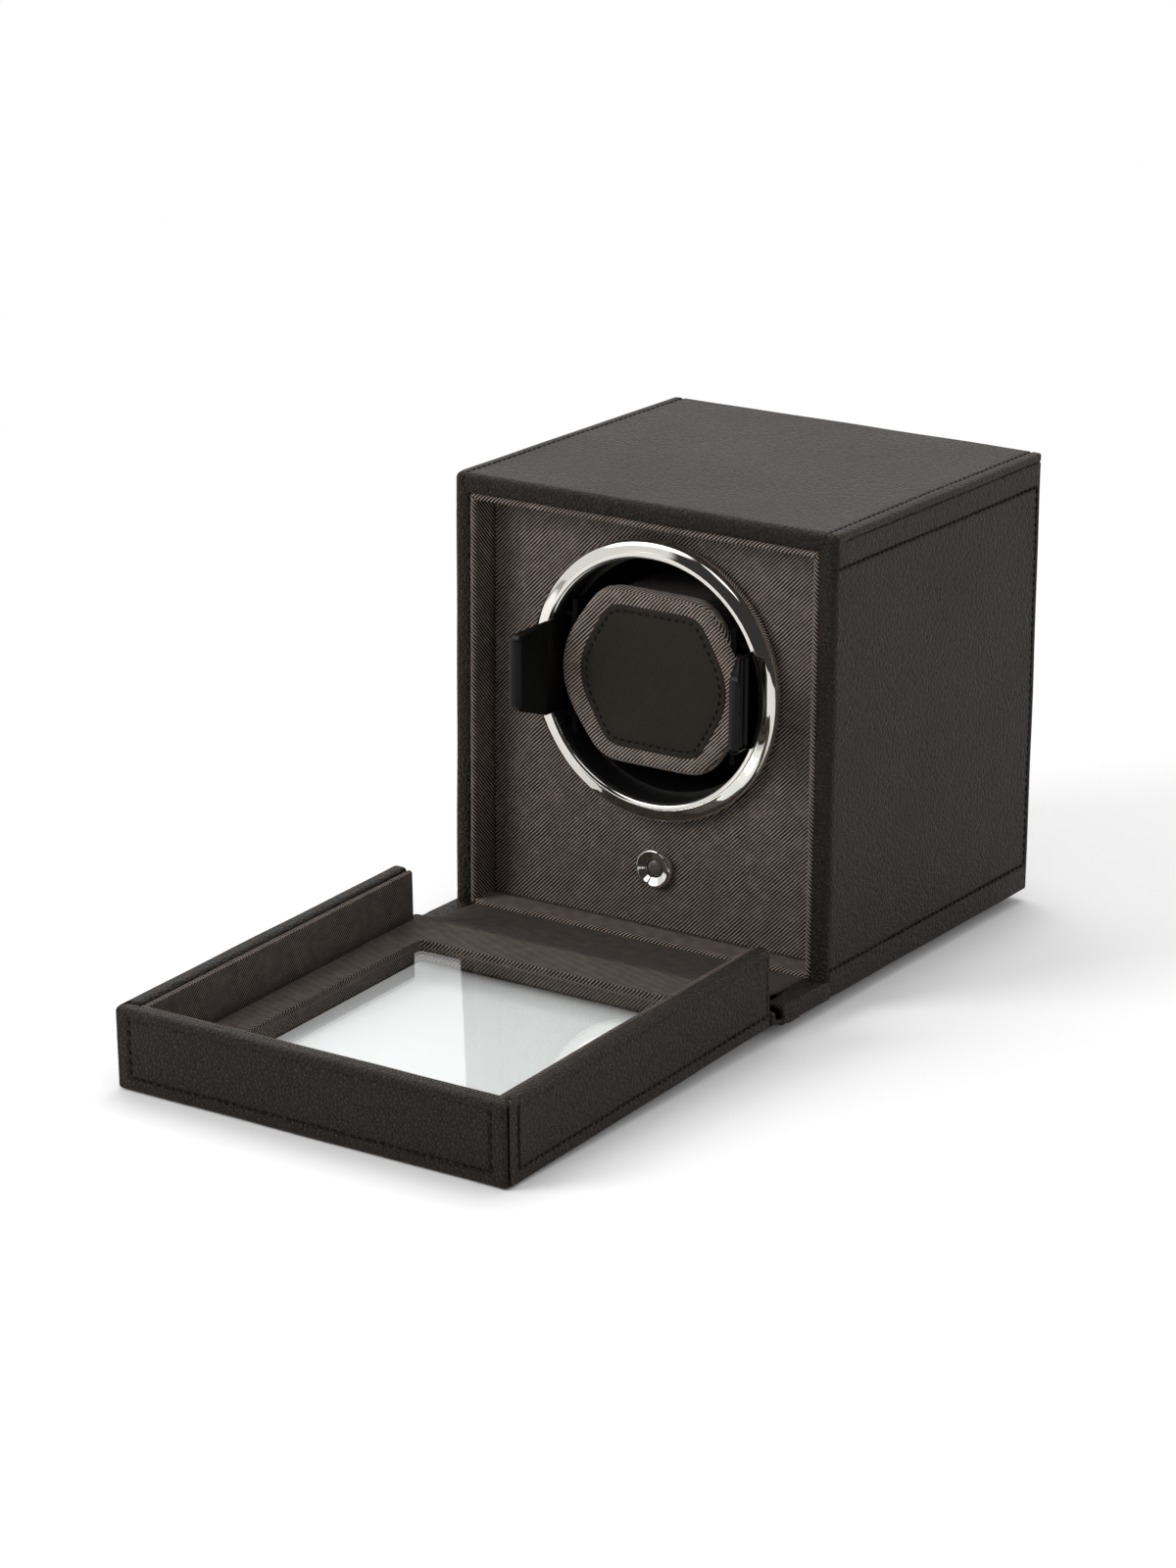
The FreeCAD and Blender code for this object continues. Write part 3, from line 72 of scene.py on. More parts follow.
# Camera, at the photograph's place.
view = {
    "place": (0.75148, -1.14437, 0.50384),
    "turn": (72.311, -0.372, 33.551),
    "lens": 107.03,
}


def addCamera():
    camera = bpy.data.cameras.new("Camera")
    camera.lens = view["lens"]
    camera.sensor_width = 36
    camera.clip_start = 0.05
    camera.clip_end = 30
    shown = bpy.data.objects.new("Camera", camera)
    shown.location = view["place"]
    shown.rotation_euler = [math.radians(angle) for angle in view["turn"]]
    bpy.context.scene.collection.objects.link(shown)
    bpy.context.scene.camera = shown


# Studio: four soft lamps, a pale floor and a pale surround. Edges are where a change starts and ends.
studio = {
    "floorSize": 9.0,
    "floorColour": (0.90, 0.90, 0.90, 1),
    "floorGlow": 0.30,
    "floorFade": (0.35, 0.8),
    "shadowReach": 0.025,
    "windowMiddle": -0.078,
    "windowHalfX": 0.056,
    "windowHalfY": 0.059,
    "windowSoftness": 0.008,
    "worldDiffuse": 0.36,
    "mirrorDark": 0.035,
    "mirrorPale": 0.74,
    "mirrorBehind": 1.0,
    "paleEdge": (-0.41, -0.46),
    "behindEdge": (0.0, 0.25),
    "keyLevel": 3.0,
    "keyEdge": (0.93, 0.97),
    "glintAim": (-0.03, -0.90, 0.435),
    "glintLevel": 1.4,
    "glintEdge": (0.983, 0.988),
    "paperSlant": -0.49,
    "paperEdges": ((0.0, 0.06), (0.80, 0.92), (0.0, -0.1)),
    "lampAim": (0, 0.05, 0.08),
    "keyPlace": (-1.0, -1.25, 1.0),
    "keySize": 0.8,
    "keyPower": 16.0,
    "topPlace": (-0.3, 0.6, 1.6),
    "topSize": 1.2,
    "topPower": 10.0,
    "sidePlace": (1.5, 0.1, 0.9),
    "sideSize": 0.6,
    "sidePower": 2.0,
    "frontPlace": (-0.12, -1.37, 0.68),
    "frontSize": 0.12,
    "frontPower": 0.5,
}


def addLamp(which, mirrored):
    place, size, power = [studio[which + word] for word in ("Place", "Size", "Power")]
    name = which.capitalize() + "Lamp"
    lamp = bpy.data.lights.new(name, "AREA")
    lamp.shape = "SQUARE"
    lamp.size = size
    lamp.energy = power
    shown = bpy.data.objects.new(name, lamp)
    offset = np.array(studio["lampAim"]) - np.array(place)
    flat = math.hypot(offset[0], offset[1])
    shown.location = place
    shown.rotation_euler = (math.atan2(flat, -offset[2]), 0, math.atan2(-offset[0], offset[1]))
    shown.visible_glossy = mirrored
    bpy.context.scene.collection.objects.link(shown)


def nodeMaker(owner):
    # A short way to add nodes to the owner's emptied tree, and to join them.
    owner.use_nodes = True
    tree = owner.node_tree
    tree.nodes.clear()

    def add(kind, inputs=None, **settings):
        node = tree.nodes.new(kind)
        for key, value in settings.items():
            setattr(node, key, value)
        for key, value in (inputs or {}).items():
            socket = node.inputs[key]
            if isinstance(value, bpy.types.NodeSocket):
                tree.links.new(value, socket)
            else:
                socket.default_value = value
        return node

    return add


def newFinish(name):
    # A material, the maker of its nodes, and the piece's own coordinates.
    made = bpy.data.materials.new(name)
    add = nodeMaker(made)
    return made, add, add("ShaderNodeTexCoord").outputs["Object"]


def scalar(add, operation, *values, clamp=False):
    return add("ShaderNodeMath", dict(enumerate(values)), operation=operation, use_clamp=clamp).outputs[0]


def ramp(add, value, edges, reach=(0.0, 1.0), kind="LINEAR"):
    # The first value of reach up to the first edge, and the second from the second edge on.
    inputs = {"Value": value, "From Min": edges[0], "From Max": edges[1], "To Min": reach[0], "To Max": reach[1]}
    return add("ShaderNodeMapRange", inputs, interpolation_type=kind).outputs[0]


def softRamp(add, value, edges):
    return ramp(add, value, edges, kind="SMOOTHSTEP")


def noise(add, place, scale, detail, roughness=0.5):
    inputs = {"Vector": place, "Scale": scale, "Detail": detail, "Roughness": roughness}
    return add("ShaderNodeTexNoise", inputs).outputs["Fac"]


def bumped(add, height, strength, distance):
    return add("ShaderNodeBump", {"Height": height, "Strength": strength, "Distance": distance}).outputs[0]


def mixFloat(add, factor, low, high):
    return add("ShaderNodeMix", {0: factor, 2: low, 3: high}, data_type="FLOAT").outputs[0]


def mixColour(add, factor, low, high, paintedLight=1.0):
    # paintedLight scales both colours, for copies of the twill lightened as painted light or darkened as painted
    # shade.
    low, high = [tuple(c * paintedLight for c in value) + (1,) for value in (low, high)]
    return add("ShaderNodeMix", {0: factor, 6: low, 7: high}, data_type="RGBA").outputs[2]


def mixShader(add, factor, first, second):
    return add("ShaderNodeMixShader", {0: factor, 1: first, 2: second}).outputs[0]


def principled(add, colour, roughness, extra):
    inputs = {"Base Color": colour, "Roughness": roughness, **extra}
    return add("ShaderNodeBsdfPrincipled", inputs).outputs[0]


def seenRays(add):
    # 1 for camera and transmission rays, which see the white background.
    path = add("ShaderNodeLightPath").outputs
    return path, scalar(add, "MAXIMUM", path["Is Camera Ray"], path["Is Transmission Ray"])


def towards(add, direction, aim, edges):
    aim = tuple(Vector(aim).normalized())
    facing = add("ShaderNodeVectorMath", {0: direction, 1: aim}, operation="DOT_PRODUCT").outputs["Value"]
    return softRamp(add, facing, edges)


def addSurround():
    # In mirrors the studio is pale at the left and behind and dark in front, with a soft key light
    # at the left and one bright softbox in front.
    world = bpy.data.worlds.new("Studio")
    bpy.context.scene.world = world
    add = nodeMaker(world)
    path, seen = seenRays(add)
    direction = add("ShaderNodeTexCoord").outputs["Generated"]
    part = add("ShaderNodeSeparateXYZ", {0: direction}).outputs
    mirror = studio["mirrorDark"]
    for share, level in ((softRamp(add, part["X"], studio["paleEdge"]), "mirrorPale"),
                         (softRamp(add, part["Y"], studio["behindEdge"]), "mirrorBehind"),
                         (towards(add, direction, studio["keyPlace"], studio["keyEdge"]), "keyLevel"),
                         (towards(add, direction, studio["glintAim"], studio["glintEdge"]), "glintLevel")):
        mirror = mixFloat(add, share, mirror, studio[level])
    mirrored = mixFloat(add, path["Is Glossy Ray"], studio["worldDiffuse"], mirror)
    level = mixFloat(add, seen, mirrored, 1.0)
    light = add("ShaderNodeBackground", {"Color": (1, 1, 1, 1), "Strength": level})
    add("ShaderNodeOutputWorld", {"Surface": light.outputs[0]})


def paperFinish():
    made, add, place = newFinish("StudioPaper")
    bump = bumped(add, noise(add, place, 400.0, 4.0), 0.02, 0.0005)
    paper = principled(add, studio["floorColour"], 0.9, {"Specular IOR Level": 0.2, "Normal": bump})
    # Seen directly or through glass, the paper is white well away from the object, and keeps its shadow.
    path, seen = seenRays(add)
    distance = add("ShaderNodeVectorMath", {0: place}, operation="LENGTH").outputs["Value"]
    spot = add("ShaderNodeSeparateXYZ", {0: place}).outputs
    white = add("ShaderNodeEmission", {"Strength": 1.0}).outputs[0]
    near = add("ShaderNodeAmbientOcclusion", {"Distance": studio["shadowReach"]}, samples=8)
    # Painted contact shade: near the object the paper's glow is dimmed by its ambient occlusion.
    # Under the cover's window, where only glass is close to it, the paper isn't darkened.
    fromMiddle = scalar(add, "SUBTRACT", spot["Y"], studio["windowMiddle"])
    outside = [softRamp(add, scalar(add, "ABSOLUTE", offset), (half, half + studio["windowSoftness"]))
               for offset, half in ((spot["X"], studio["windowHalfX"]), (fromMiddle, studio["windowHalfY"]))]
    paintedContactShade = mixFloat(add, scalar(add, "MAXIMUM", *outside), 1.0, near.outputs["AO"])
    glow = add("ShaderNodeEmission", {"Strength": scalar(add, "MULTIPLY", paintedContactShade, studio["floorGlow"])})
    lit = add("ShaderNodeAddShader", {0: paper, 1: glow.outputs[0]}).outputs[0]
    shown = mixShader(add, softRamp(add, distance, studio["floorFade"]), lit, white)
    # In mirrors the paper ends in front of the object, where the dark studio begins.
    sector = scalar(add, "MULTIPLY_ADD", spot["Y"], studio["paperSlant"], spot["X"])
    ended = path["Is Glossy Ray"]
    for value, edges in zip((sector, distance, spot["Y"]), studio["paperEdges"]):
        ended = scalar(add, "MULTIPLY", ended, softRamp(add, value, edges))
    dark = add("ShaderNodeEmission", {"Strength": studio["mirrorDark"]}).outputs[0]
    surface = mixShader(add, seen, mixShader(add, ended, paper, dark), shown)
    add("ShaderNodeOutputMaterial", {"Surface": surface})
    return made


def addStudio():
    addSurround()
    corners = np.array([(-1, -1, 0), (1, -1, 0), (1, 1, 0), (-1, 1, 0)]) * studio["floorSize"] / 2
    mesh = bpy.data.meshes.new("Floor")
    mesh.from_pydata(corners.tolist(), [], [(0, 1, 2, 3)])
    mesh.materials.append(paperFinish())
    floor = bpy.data.objects.new("Floor", mesh)
    bpy.context.scene.collection.objects.link(floor)
    for which, mirrored in (("key", False), ("top", True), ("side", True), ("front", False)):
        addLamp(which, mirrored)
    bpy.context.scene.view_settings.view_transform = "Standard"
    print("camera, lamps and floor placed")


# Materials. Scales are in cells per metre, depths in metres.
def dress(add, colour, roughness, normal, extra=None):
    skin = principled(add, colour, roughness, {"Normal": normal, **(extra or {})})
    add("ShaderNodeOutputMaterial", {"Surface": skin})


def scaled(colour, amount):
    return tuple(c * amount for c in colour)


leather = {
    "warpScale": 500.0,
    "warp": (0.0004, 0.0004, 0.0004),
    "edge": (0.0, 0.16),
    "fineScale": 4200.0,
    "fine": 0.25,
    "relief": 0.8,
    "driftScale": 28.0,
    "drift": (0.93, 1.07),
    "paintedCreaseShade": -0.35,
    "edgeTone": 0.45,
    "wear": (-0.02, 0.03),
    "gloss": 0.34,
    "glossTint": (1.0, 0.86, 0.76, 1),
}
midNoise = (0.3, 0.7)


def leatherFinish(name="Leather", colour=(0.0172, 0.0136, 0.0108), roughness=0.47, grain=0.0013, depth=0.0005):
    # Pebbled leather: rounded cells with fine creases between them, a slow drift in tone, and painted
    # shade: a darker line where the piece's own crease attribute says that it is drawn in beside a seam.
    made, add, place = newFinish(name)
    warp = add("ShaderNodeTexNoise", {"Vector": place, "Scale": leather["warpScale"], "Detail": 2.0})
    moved = add("ShaderNodeVectorMath", {0: warp.outputs["Color"], 1: leather["warp"]}, operation="MULTIPLY")
    spot = add("ShaderNodeVectorMath", {0: place, 1: moved.outputs[0]}, operation="ADD").outputs[0]
    cells, creases = [add("ShaderNodeTexVoronoi", {"Vector": spot, "Scale": 1 / grain}, feature=feature)
                      for feature in ("SMOOTH_F1", "DISTANCE_TO_EDGE")]
    edge = ramp(add, creases.outputs["Distance"], leather["edge"])
    height = scalar(add, "SUBTRACT", edge, cells.outputs["Distance"])
    height = scalar(add, "MULTIPLY_ADD", noise(add, place, leather["fineScale"], 3.0), leather["fine"], height)
    drift = noise(add, place, leather["driftScale"], 3.0)
    # Painted shade: the colour is darkened where the piece is drawn in beside a seam or fold.
    crease = add("ShaderNodeAttribute", attribute_name="crease").outputs["Fac"]
    creaseShadeFactor = scalar(add, "MULTIPLY_ADD", crease, leather["paintedCreaseShade"], 1.0, clamp=True)
    tone = scalar(add, "MULTIPLY", ramp(add, drift, midNoise, leather["drift"]), creaseShadeFactor)
    shade = mixColour(add, edge, scaled(colour, leather["edgeTone"]), colour)
    toned = add("ShaderNodeVectorMath", {0: shade, "Scale": tone}, operation="SCALE").outputs[0]
    wear = ramp(add, drift, midNoise, [roughness + change for change in leather["wear"]])
    dress(add, toned, wear, bumped(add, height, leather["relief"], depth),
          {"Specular IOR Level": leather["gloss"], "Specular Tint": leather["glossTint"]})
    return made


twillCloth = {
    "pitch": 0.00095,
    "steep": 0.6,
    "wobbleScale": 160.0,
    "wobble": 0.00035,
    "floats": 0.08,
    "cover": (-0.45, 1.0),
    "slub": 0.004,
    "slubTone": 0.95,
    "slubMiddle": 0.52,
    "dark": (0.0055, 0.0042, 0.0037),
    "light": (0.345, 0.274, 0.236),
    "relief": 0.00022,
    "roughness": 0.72,
    "sheen": 0.43,
}


def twillFinish(name="Twill", paintedLight=1.0, fromUv=False, shine=0.35):
    # Diagonal twill in the plane that each face lies in, or along the piece's own cloth map: ribs
    # rise at 45 degrees, each faintly broken into floats by the crossing threads.
    # paintedLight scales the thread colours: above 1 it is painted light, below 1 painted shade.
    made, add, place = newFinish(name)
    if fromUv:
        cloth = add("ShaderNodeSeparateXYZ", {0: add("ShaderNodeUVMap", uv_map="Cloth").outputs[0]}).outputs
        across, up = cloth["X"], cloth["Y"]
    else:
        spot = add("ShaderNodeSeparateXYZ", {0: place}).outputs
        normal = add("ShaderNodeNewGeometry").outputs["True Normal"]
        facing = add("ShaderNodeSeparateXYZ", {0: normal}).outputs
        sideways, level = [scalar(add, "GREATER_THAN", scalar(add, "ABSOLUTE", facing[axis]), twillCloth["steep"])
                           for axis in "XZ"]
        across = mixFloat(add, sideways, spot["X"], spot["Y"])
        up = mixFloat(add, level, spot["Z"], spot["Y"])
    wobble = noise(add, place, twillCloth["wobbleScale"], 2.0)
    drift = scalar(add, "MULTIPLY_ADD", wobble, twillCloth["wobble"], scalar(add, "SUBTRACT", up, across))
    turn = 2 * math.pi / (twillCloth["pitch"] * math.sqrt(2))
    ribPhase = scalar(add, "MULTIPLY", drift, turn)
    floatPhase = scalar(add, "MULTIPLY", scalar(add, "ADD", up, across), turn * 0.5)
    floatPhase = scalar(add, "MULTIPLY_ADD", ribPhase, 0.5, floatPhase)
    floats, rib = scalar(add, "COSINE", floatPhase), scalar(add, "COSINE", ribPhase)
    height = scalar(add, "MULTIPLY_ADD", floats, twillCloth["floats"], rib)
    slub = noise(add, place, 1 / twillCloth["slub"], 6.0, 0.7)
    cover = scalar(add, "MULTIPLY_ADD", slub, twillCloth["slubTone"], softRamp(add, height, twillCloth["cover"]))
    cover = scalar(add, "SUBTRACT", cover, twillCloth["slubMiddle"], clamp=True)
    colour = mixColour(add, cover, twillCloth["dark"], twillCloth["light"], paintedLight)
    dress(add, colour, twillCloth["roughness"], bumped(add, height, 0.6, twillCloth["relief"]),
          {"Specular IOR Level": shine, "Sheen Weight": shine * twillCloth["sheen"], "Sheen Roughness": 0.4})
    return made


def metalFinish(name, colour, roughness, scratch=0.02, brushed=0.0, relief=0.00002):
    # Metal with faint wipe marks, or brushed along X where brushed is above 0.
    made, add, place = newFinish(name)
    stretch = add("ShaderNodeMapping", {"Vector": place, "Scale": (1, 1 + 30 * brushed, 1 + 30 * brushed)})
    marks = noise(add, stretch.outputs[0], 300.0, 5.0)
    rough = ramp(add, marks, (0.35, 0.7), (roughness, roughness + scratch))
    dress(add, colour + (1,), rough, bumped(add, marks, 0.02 + brushed, relief), {"Metallic": 1.0})
    return made


def plasticFinish(name, colour, roughness, texture=0.00004, scale=1800.0, gloss=0.5):
    # Moulded plastic with a fine skin and a slow change of gloss.
    made, add, place = newFinish(name)
    slow = noise(add, place, 60.0, 2.0)
    rough = ramp(add, slow, midNoise, (roughness - 0.04, roughness + 0.05))
    tone = mixColour(add, slow, scaled(colour, 0.85), scaled(colour, 1.15))
    skin = bumped(add, noise(add, place, scale, 3.0), 0.4, texture)
    dress(add, tone, rough, skin, {"Specular IOR Level": gloss})
    return made


def glassFinish():
    # Clear glass with the faintest smears, which lets light through to what lies under it.
    made, add, place = newFinish("Glass")
    rough = ramp(add, noise(add, place, 22.0, 4.0), (0.45, 0.75), (0.0, 0.012))
    pane = principled(add, (0.97, 0.985, 0.98, 1), rough, {"IOR": 1.5, "Transmission Weight": 1.0})
    clear = add("ShaderNodeBsdfTransparent", {"Color": (0.94, 0.96, 0.955, 1)}).outputs[0]
    path = add("ShaderNodeLightPath").outputs
    passing = scalar(add, "MAXIMUM", path["Is Shadow Ray"], path["Is Diffuse Ray"])
    add("ShaderNodeOutputMaterial", {"Surface": mixShader(add, passing, pane, clear)})
    return made


def boardFinish():
    # Fibreboard with short pale and dark fibres.
    made, add, place = newFinish("Board")
    fibre = noise(add, place, 900.0, 8.0, 0.75)
    amount = scalar(add, "MULTIPLY", fibre, noise(add, place, 40.0, 2.0))
    tone = mixColour(add, amount, (0.16, 0.10, 0.055), (0.42, 0.30, 0.18))
    dress(add, tone, 0.8, bumped(add, fibre, 0.4, 0.00005))
    return made


finish = {
    "leather": leatherFinish(),
    "padLeather": leatherFinish("PadLeather", (0.0180, 0.0152, 0.0117), 0.52, 0.00062, 0.00008),
    "thread": plasticFinish("Thread", (0.0022, 0.0020, 0.0018), 0.85, 0.00003, 5000.0),
    "twill": twillFinish(),
    # Copies of the twill with scaled thread colours: the lighter ones are painted light, on the rolled edges and the
    # cuff face, and the darker ones are painted shade, on the rail and cards, the shelf and hinge and, darkest, the
    # cuff body.
    "twillUv": twillFinish("TwillRolledPaintedLight", paintedLight=1.1, fromUv=True, shine=0.1),
    "twillCuffLit": twillFinish("TwillCuffPaintedLight", paintedLight=1.35),
    "twillShade": twillFinish("TwillShade", paintedLight=0.52, shine=0.08),
    "twillPaintedShadow": twillFinish("TwillPaintedShadow", paintedLight=0.28, shine=0.1),
    "twillRail": twillFinish("TwillRail", paintedLight=0.85, shine=0.12),
    "board": boardFinish(),
    "chrome": metalFinish("Chrome", (0.90, 0.87, 0.81), 0.035, 0.01, relief=0.0000005),
    "glass": glassFinish(),
    "black_plastic": plasticFinish("BlackPlastic", (0.010, 0.0095, 0.009), 0.5),
    "gloss_black": plasticFinish("GripPlastic", (0.0035, 0.0033, 0.0030), 0.33, 0.00001, 900.0, gloss=0.25),
    "clear_cap": plasticFinish("CapPlastic", (0.105, 0.088, 0.080), 0.07, 0.000004, 600.0),
    "steel": metalFinish("Steel", (0.55, 0.54, 0.52), 0.28, 0.08, 0.05),
    "magnet": metalFinish("MagnetPlating", (0.62, 0.60, 0.56), 0.16, 0.05),
    "bronze": metalFinish("Bronze", (0.50, 0.32, 0.15), 0.34, 0.08),
    "rubber": plasticFinish("Rubber", (0.014, 0.0135, 0.013), 0.72, 0.00006, 1400.0),
    "circuit": plasticFinish("Circuit", (0.02, 0.10, 0.04), 0.35, 0.00002, 500.0),
}
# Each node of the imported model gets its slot's finish.
slotOf = {entry["node"]: entry["material_slot"] for entry in frame["record"]["subparts"]}
for name, node in nodes.items():
    node.data.materials.clear()
    node.data.materials.append(finish[slotOf[name]])
# Darker copies inside the cuff: painted shade where little light falls.
shadedSteel = metalFinish("SteelInPaintedShade", (0.02, 0.019, 0.018), 0.45, 0.08, 0.05)
shadedPlastic = plasticFinish("PlasticInPaintedShade", (0.0025, 0.0023, 0.0021), 0.8, gloss=0.1)
for name, look in (("grip_pins", shadedPlastic), ("grip_springs", shadedSteel), ("cuff_core", shadedPlastic)):
    nodes[name].data.materials[0] = look
print("materials made")


# Ways to make meshes, used by the pieces below. Lengths in the pieces' own tables are in millimetres.
mm = 0.001
leatherThick = 0.9
clothThick = 0.5
seamWidth = 0.6
foldWidth = 0.5


def gridFaces(rows, columns, wrapRows=False, wrapColumns=False):
    # Quads between neighbouring grid points, with point (i, j) at index i * columns + j.
    i = np.arange(rows if wrapRows else rows - 1)
    j = np.arange(columns if wrapColumns else columns - 1)
    i, j = np.meshgrid(i, j, indexing="ij")
    down, right = (i + 1) % rows, (j + 1) % columns
    corners = [i * columns + j, down * columns + j, down * columns + right, i * columns + right]
    return np.stack(corners, axis=-1).reshape(-1, 4)


def gridOf(x, y, z):
    return np.stack(np.broadcast_arrays(x, y, z), axis=-1)


def joinParts(parts):
    # Several (points, faces) pairs as one.
    points, faces, start = [], [], 0
    for some, quads in parts:
        points.append(some.reshape(-1, 3))
        faces.append(quads + start)
        start += len(points[-1])
    return np.concatenate(points), np.concatenate(faces)


def addPiece(name, points, faces, look, slot, body, centre=None, weld=1e-6, uv=None, crease=None, thickness=None):
    # A mesh piece in metres, welded, with its faces outwards: away from centre where it is open.
    # crease is how far each point is drawn in at a seam; the leather's colour is darkened there as
    # painted shade. The thickness in millimetres is given to an open piece, inwards.
    mesh = bpy.data.meshes.new(name)
    mesh.from_pydata(points.reshape(-1, 3).tolist(), [], faces.tolist())
    if uv is not None:
        layer = mesh.uv_layers.new(name="Cloth")
        loops = np.empty(len(mesh.loops), dtype=np.int32)
        mesh.loops.foreach_get("vertex_index", loops)
        layer.data.foreach_set("uv", uv.reshape(-1, 2)[loops].astype(np.float32).ravel())
    if crease is not None:
        # The crease attribute that paints shade into the leather beside its seams.
        sunk = np.clip(crease / crease.max(), 0, 1).astype(np.float32)
        mesh.attributes.new("crease", "FLOAT", "POINT").data.foreach_set("value", sunk)
    work = bmesh.new()
    work.from_mesh(mesh)
    bmesh.ops.remove_doubles(work, verts=work.verts, dist=weld)
    bmesh.ops.dissolve_degenerate(work, edges=work.edges, dist=1e-7)
    bmesh.ops.recalc_face_normals(work, faces=work.faces)
    if centre is not None:
        heart = Vector(centre)
        outward = sum(face.calc_area() * face.normal.dot(face.calc_center_median() - heart) for face in work.faces)
        if outward < 0:
            bmesh.ops.reverse_faces(work, faces=work.faces)
    work.to_mesh(mesh)
    work.free()
    mesh.polygons.foreach_set("use_smooth", [True] * len(mesh.polygons))
    mesh.materials.append(finish[look])
    shown = bpy.data.objects.new(name, mesh)
    bpy.context.scene.collection.objects.link(shown)
    if body:
        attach(shown, body)
    if thickness:
        giveThickness(shown, thickness)
    return shown


def addGrid(name, grid, *rest, wraps=(False, False), **more):
    # A piece from a grid of points in millimetres.
    return addPiece(name, grid * mm, gridFaces(*grid.shape[:2], *wraps), *rest, **more)


def giveThickness(shown, thickness):
    wall = shown.modifiers.new("Thickness", "SOLIDIFY")
    wall.thickness = thickness * mm
    wall.offset = -1


def inCover(points):
    # From the cover's own frame, hinge line at its origin, to the part's frame.
    y, z = points[..., 1], points[..., 2]
    turned = points.copy()
    turned[..., 1] = hinge[1] + y * math.cos(coverPitch) - z * math.sin(coverPitch)
    turned[..., 2] = hinge[2] + y * math.sin(coverPitch) + z * math.cos(coverPitch)
    return turned


def alongAxis(low, high, rounding, openLow, openHigh, step, fine):
    # Sample positions: close together on the rounded edges and near the seams.
    spots = [np.linspace(low, high, max(2, int((high - low) / step) + 1))]
    curve = rounding * (1 - np.tan(np.linspace(0, math.pi / 4, 5)))
    if not openLow:
        spots.append(low + curve)
    if not openHigh:
        spots.append(high - curve)
    for middleSpot in fine:
        spots.append(middleSpot + np.arange(-5, 6) * 0.32 * mm)
    merged = np.unique(np.round(np.concatenate(spots), 6))
    merged = merged[(merged >= low - 1e-9) & (merged <= high + 1e-9)]
    return merged[np.concatenate(([True], np.diff(merged) > 0.00008))]


def softBox(low, high, rounding, openSides=(), step=4.0, fine=((), (), ())):
    # A box with rounded edges. Each point of the plain box is pulled to within one rounding of the
    # smaller box inside it. Open sides, such as "-z", are left out and aren't rounded.
    low, high, rounding = [np.array(value, dtype=float) * mm for value in (low, high, rounding)]
    isOpen = [["-" + axis in openSides, "+" + axis in openSides] for axis in "xyz"]
    samples = [alongAxis(low[k], high[k], rounding[k], *isOpen[k], step * mm, np.array(fine[k]) * mm)
               for k in range(3)]
    parts = []
    for k in range(3):
        others = [axis for axis in range(3) if axis != k]
        for side, level in enumerate((low[k], high[k])):
            if isOpen[k][side]:
                continue
            spots = [level, level, level]
            spots[others[0]], spots[others[1]] = samples[others[0]][:, None], samples[others[1]]
            grid = gridOf(*spots)
            parts.append((grid, gridFaces(*grid.shape[:2])))
    points, faces = joinParts(parts)
    least = np.array([-9.0 if isOpen[k][0] else low[k] + rounding[k] for k in range(3)])
    most = np.array([9.0 if isOpen[k][1] else high[k] - rounding[k] for k in range(3)])
    inside = np.clip(points, least, most)
    away = (points - inside) / rounding
    size = np.linalg.norm(away, axis=1, keepdims=True)
    away = away / np.maximum(size, 1e-9)
    normal = away / rounding
    normal /= np.maximum(np.linalg.norm(normal, axis=1, keepdims=True), 1e-9)
    return inside + away * rounding, faces, normal


def creaseDepth(points, seams, depth, width):
    # How far leather is drawn in beside its seams: a bell curve over the distance to each seam.
    drawn = np.zeros(len(points))
    for start, end in seams:
        start, end = np.array(start) * mm, np.array(end) * mm
        along = end - start
        share = np.clip((points - start) @ along / (along @ along), 0, 1)
        distance = np.linalg.norm(points - start - share[:, None] * along, axis=1)
        drawn = np.maximum(drawn, depth * mm * np.exp(-((distance / (width * mm)) ** 2)))
    return drawn


def handMade(points, amount):
    # The slow unevenness of glued leather: three crossed waves of unequal length.
    x, y, z = points[:, 0], points[:, 1], points[:, 2]
    waves = np.sin(61 * x + 43 * y + 37 * z + 1.3) + np.sin(-97 * x + 71 * y + 53 * z)
    return amount * mm * 0.4 * (waves + np.sin(149 * x - 131 * y + 127 * z + 2.1))


def runLength(line):
    # How far along the line each of its points lies.
    return np.concatenate([[0], np.cumsum(np.linalg.norm(np.diff(line, axis=0), axis=1))])


def readAlong(line, along, stations):
    return np.stack([np.interp(stations, along, line[:, k]) for k in range(2)], axis=1)


def evenly(line, count, closed=True):
    # The same line through points at an even spacing, and its length.
    line = np.array(line, dtype=float)
    line = np.vstack([line, line[:1]]) if closed else line
    along = runLength(line)
    return readAlong(line, along, np.linspace(0, along[-1], count, endpoint=not closed)), along[-1]


def leatherBox(low, high, rounding, openSides=(), fine=((), (), ()), seams=(), folds=(), depth=0.40, foldDepth=0.0,
               waves=0.10, step=4.0):
    # A soft box of leather, uneven by hand and drawn in beside its seams and folds.
    points, faces, normal = softBox(low, high, rounding, openSides, step, fine)
    drawn = creaseDepth(points, seams, depth, seamWidth) + creaseDepth(points, folds, foldDepth, foldWidth)
    return points + normal * (handMade(points, waves) - drawn)[:, None], faces, normal, drawn


# Stitches.
stitch = {
    "pitch": 2.75,
    "length": 1.7,
    "radius": 0.36,
    "rise": 0.14,
    "slant": 0.16,
    "sunk": 0.30,
}


